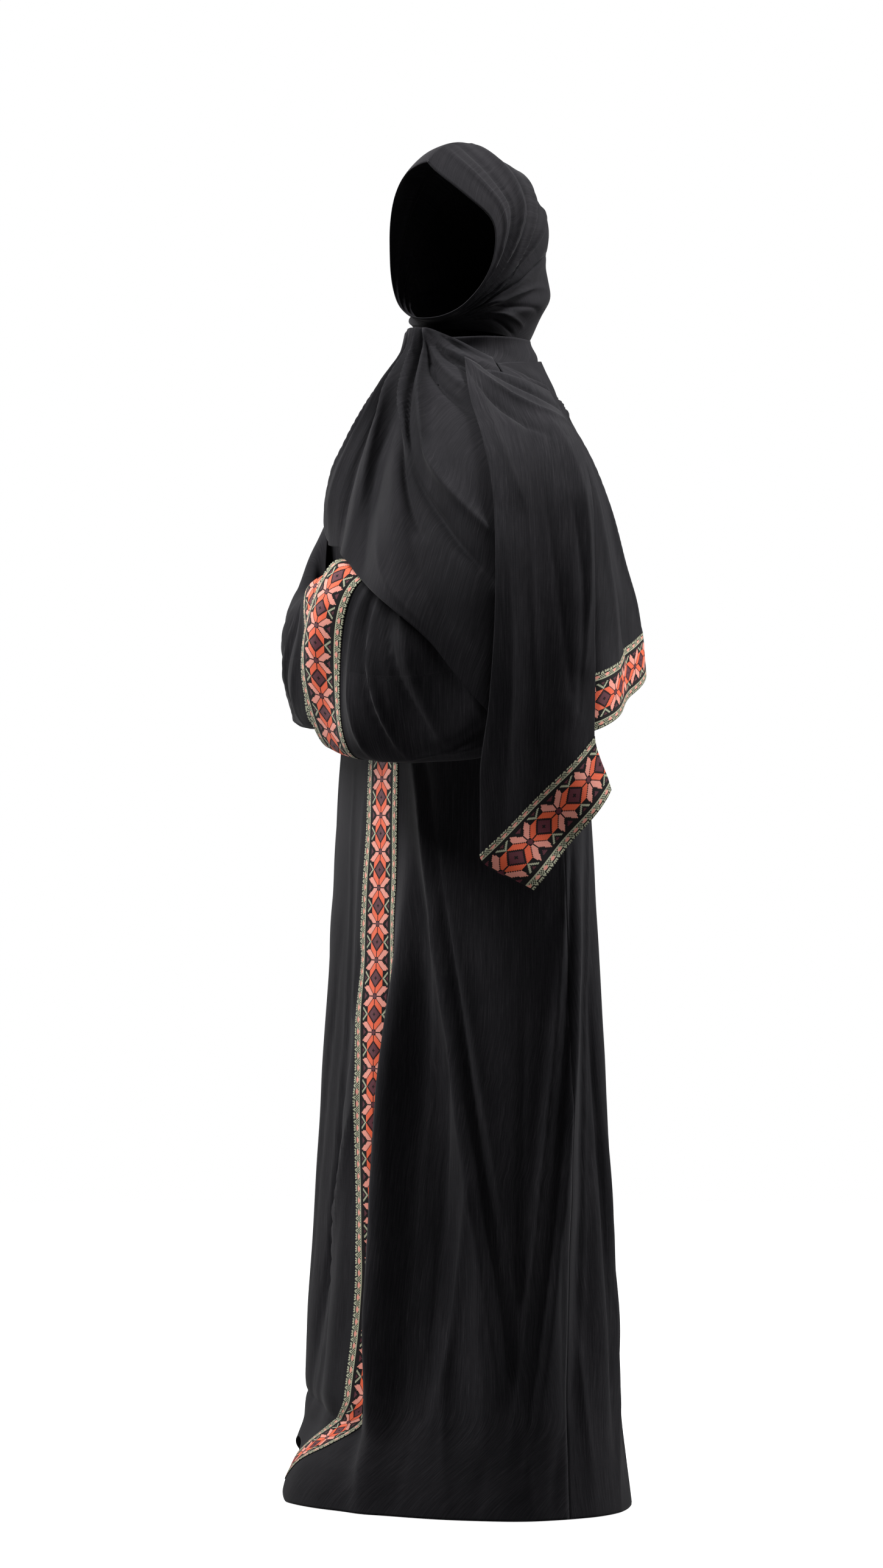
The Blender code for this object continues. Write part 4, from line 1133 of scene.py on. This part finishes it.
def place_camera():
    data = bpy.data.cameras.new("camera")
    data.sensor_fit = "VERTICAL"
    data.sensor_height = data.sensor_width = SENSOR
    data.lens = SENSOR * CAMERA_DISTANCE / VIEW_HEIGHT
    data.clip_end = 60.0
    thing = show("camera", data)
    turn = np.radians(CAMERA_AZIMUTH)
    toward = Vector((np.sin(turn), -np.cos(turn), 0.0))
    right = Vector((np.cos(turn), np.sin(turn), 0.0))
    thing.location = toward * CAMERA_DISTANCE - right * CAMERA_SHIFT_LEFT
    thing.location.z = CAMERA_HEIGHT + FLOOR
    thing.rotation_euler = (np.pi / 2, 0.0, turn)
    bpy.context.scene.camera = thing
    return toward, right


# Area lights: metres ahead towards the camera, to its right and up, the height aimed at, size, watts.
LIGHTS = (
    ("key", 0.2, -2.2, 3.9, 1.15, (1.4, 1.4), 380.0),
    ("fill", 4.4, 1.6, 2.6, 0.9, (2.0, 2.0), 22.0),
    ("top", 0.3, 1.6, 3.6, 1.2, (0.8, 0.8), 190.0),
    ("rim_left", -2.2, -2.4, 1.5, 1.0, (1.0, 2.4), 70.0),
    ("rim_right", -0.7, 3.0, 2.3, 1.0, (0.8, 1.8), 130.0),
)


def area_light(toward, right, name, ahead, side, height, aim, size, power):
    data = bpy.data.lights.new(name, "AREA")
    data.shape = "RECTANGLE"
    data.size, data.size_y = size
    data.energy = power
    thing = show(name, data)
    thing.location = toward * ahead + right * side + Vector((0.0, 0.0, height + FLOOR))
    target = Vector((0.0, 0.0, aim + FLOOR))
    thing.rotation_euler = (target - thing.location).to_track_quat("-Z", "Y").to_euler()


FLOOR_REACH = 5.0
FLOOR_GLOW = 0.85
WORLD_LIGHT = 0.05


def seen_by_camera(tree):
    return node(tree, "ShaderNodeLightPath").outputs["Is Camera Ray"]


def light_world():
    """White to the camera, and a faint light on everything else."""
    world = bpy.data.worlds.new("studio")
    world.use_nodes = True
    tree = world.node_tree
    backdrop = tree.nodes["Background"]
    backdrop.inputs["Color"].default_value = (1.0, 1.0, 1.0, 1.0)
    strength = math_node(tree, "MULTIPLY_ADD", seen_by_camera(tree), 1.0 - WORLD_LIGHT, WORLD_LIGHT)
    tree.links.new(strength, backdrop.inputs["Strength"])
    bpy.context.scene.world = world


def lay_floor():
    """A round pale floor that glows for the camera alone, so that it looks white."""
    made = bpy.data.materials.new("studio_floor")
    made.use_nodes = True
    tree = made.node_tree
    shader = tree.nodes["Principled BSDF"]
    place = node(tree, "ShaderNodeTexCoord").outputs["Object"]
    tint = ramp(tree, noise(tree, place, (3.0, 3.0, 3.0)), ((0.3, (0.25,) * 3), (0.7, (0.27,) * 3)))
    tree.links.new(tint, shader.inputs["Base Color"])
    shader.inputs["Roughness"].default_value = 0.8
    shader.inputs["Emission Color"].default_value = (1.0, 1.0, 1.0, 1.0)
    glow = math_node(tree, "MULTIPLY", seen_by_camera(tree), FLOOR_GLOW)
    tree.links.new(glow, shader.inputs["Emission Strength"])
    turns = np.radians(ring(96))
    corners = [(FLOOR_REACH * np.cos(turn), FLOOR_REACH * np.sin(turn), FLOOR - 0.001) for turn in turns]
    mesh = bpy.data.meshes.new("studio_floor")
    mesh.from_pydata(corners, [], [tuple(range(len(corners)))])
    mesh.materials.append(made)
    floor = show("studio_floor", mesh)


dress_body()
dress_sleeves()
dress_scarf()
toward_camera, image_right = place_camera()
for light in LIGHTS:
    area_light(toward_camera, image_right, *light)
bpy.context.scene.view_settings.view_transform = "Standard"
light_world()
lay_floor()
bpy.context.view_layer.update()
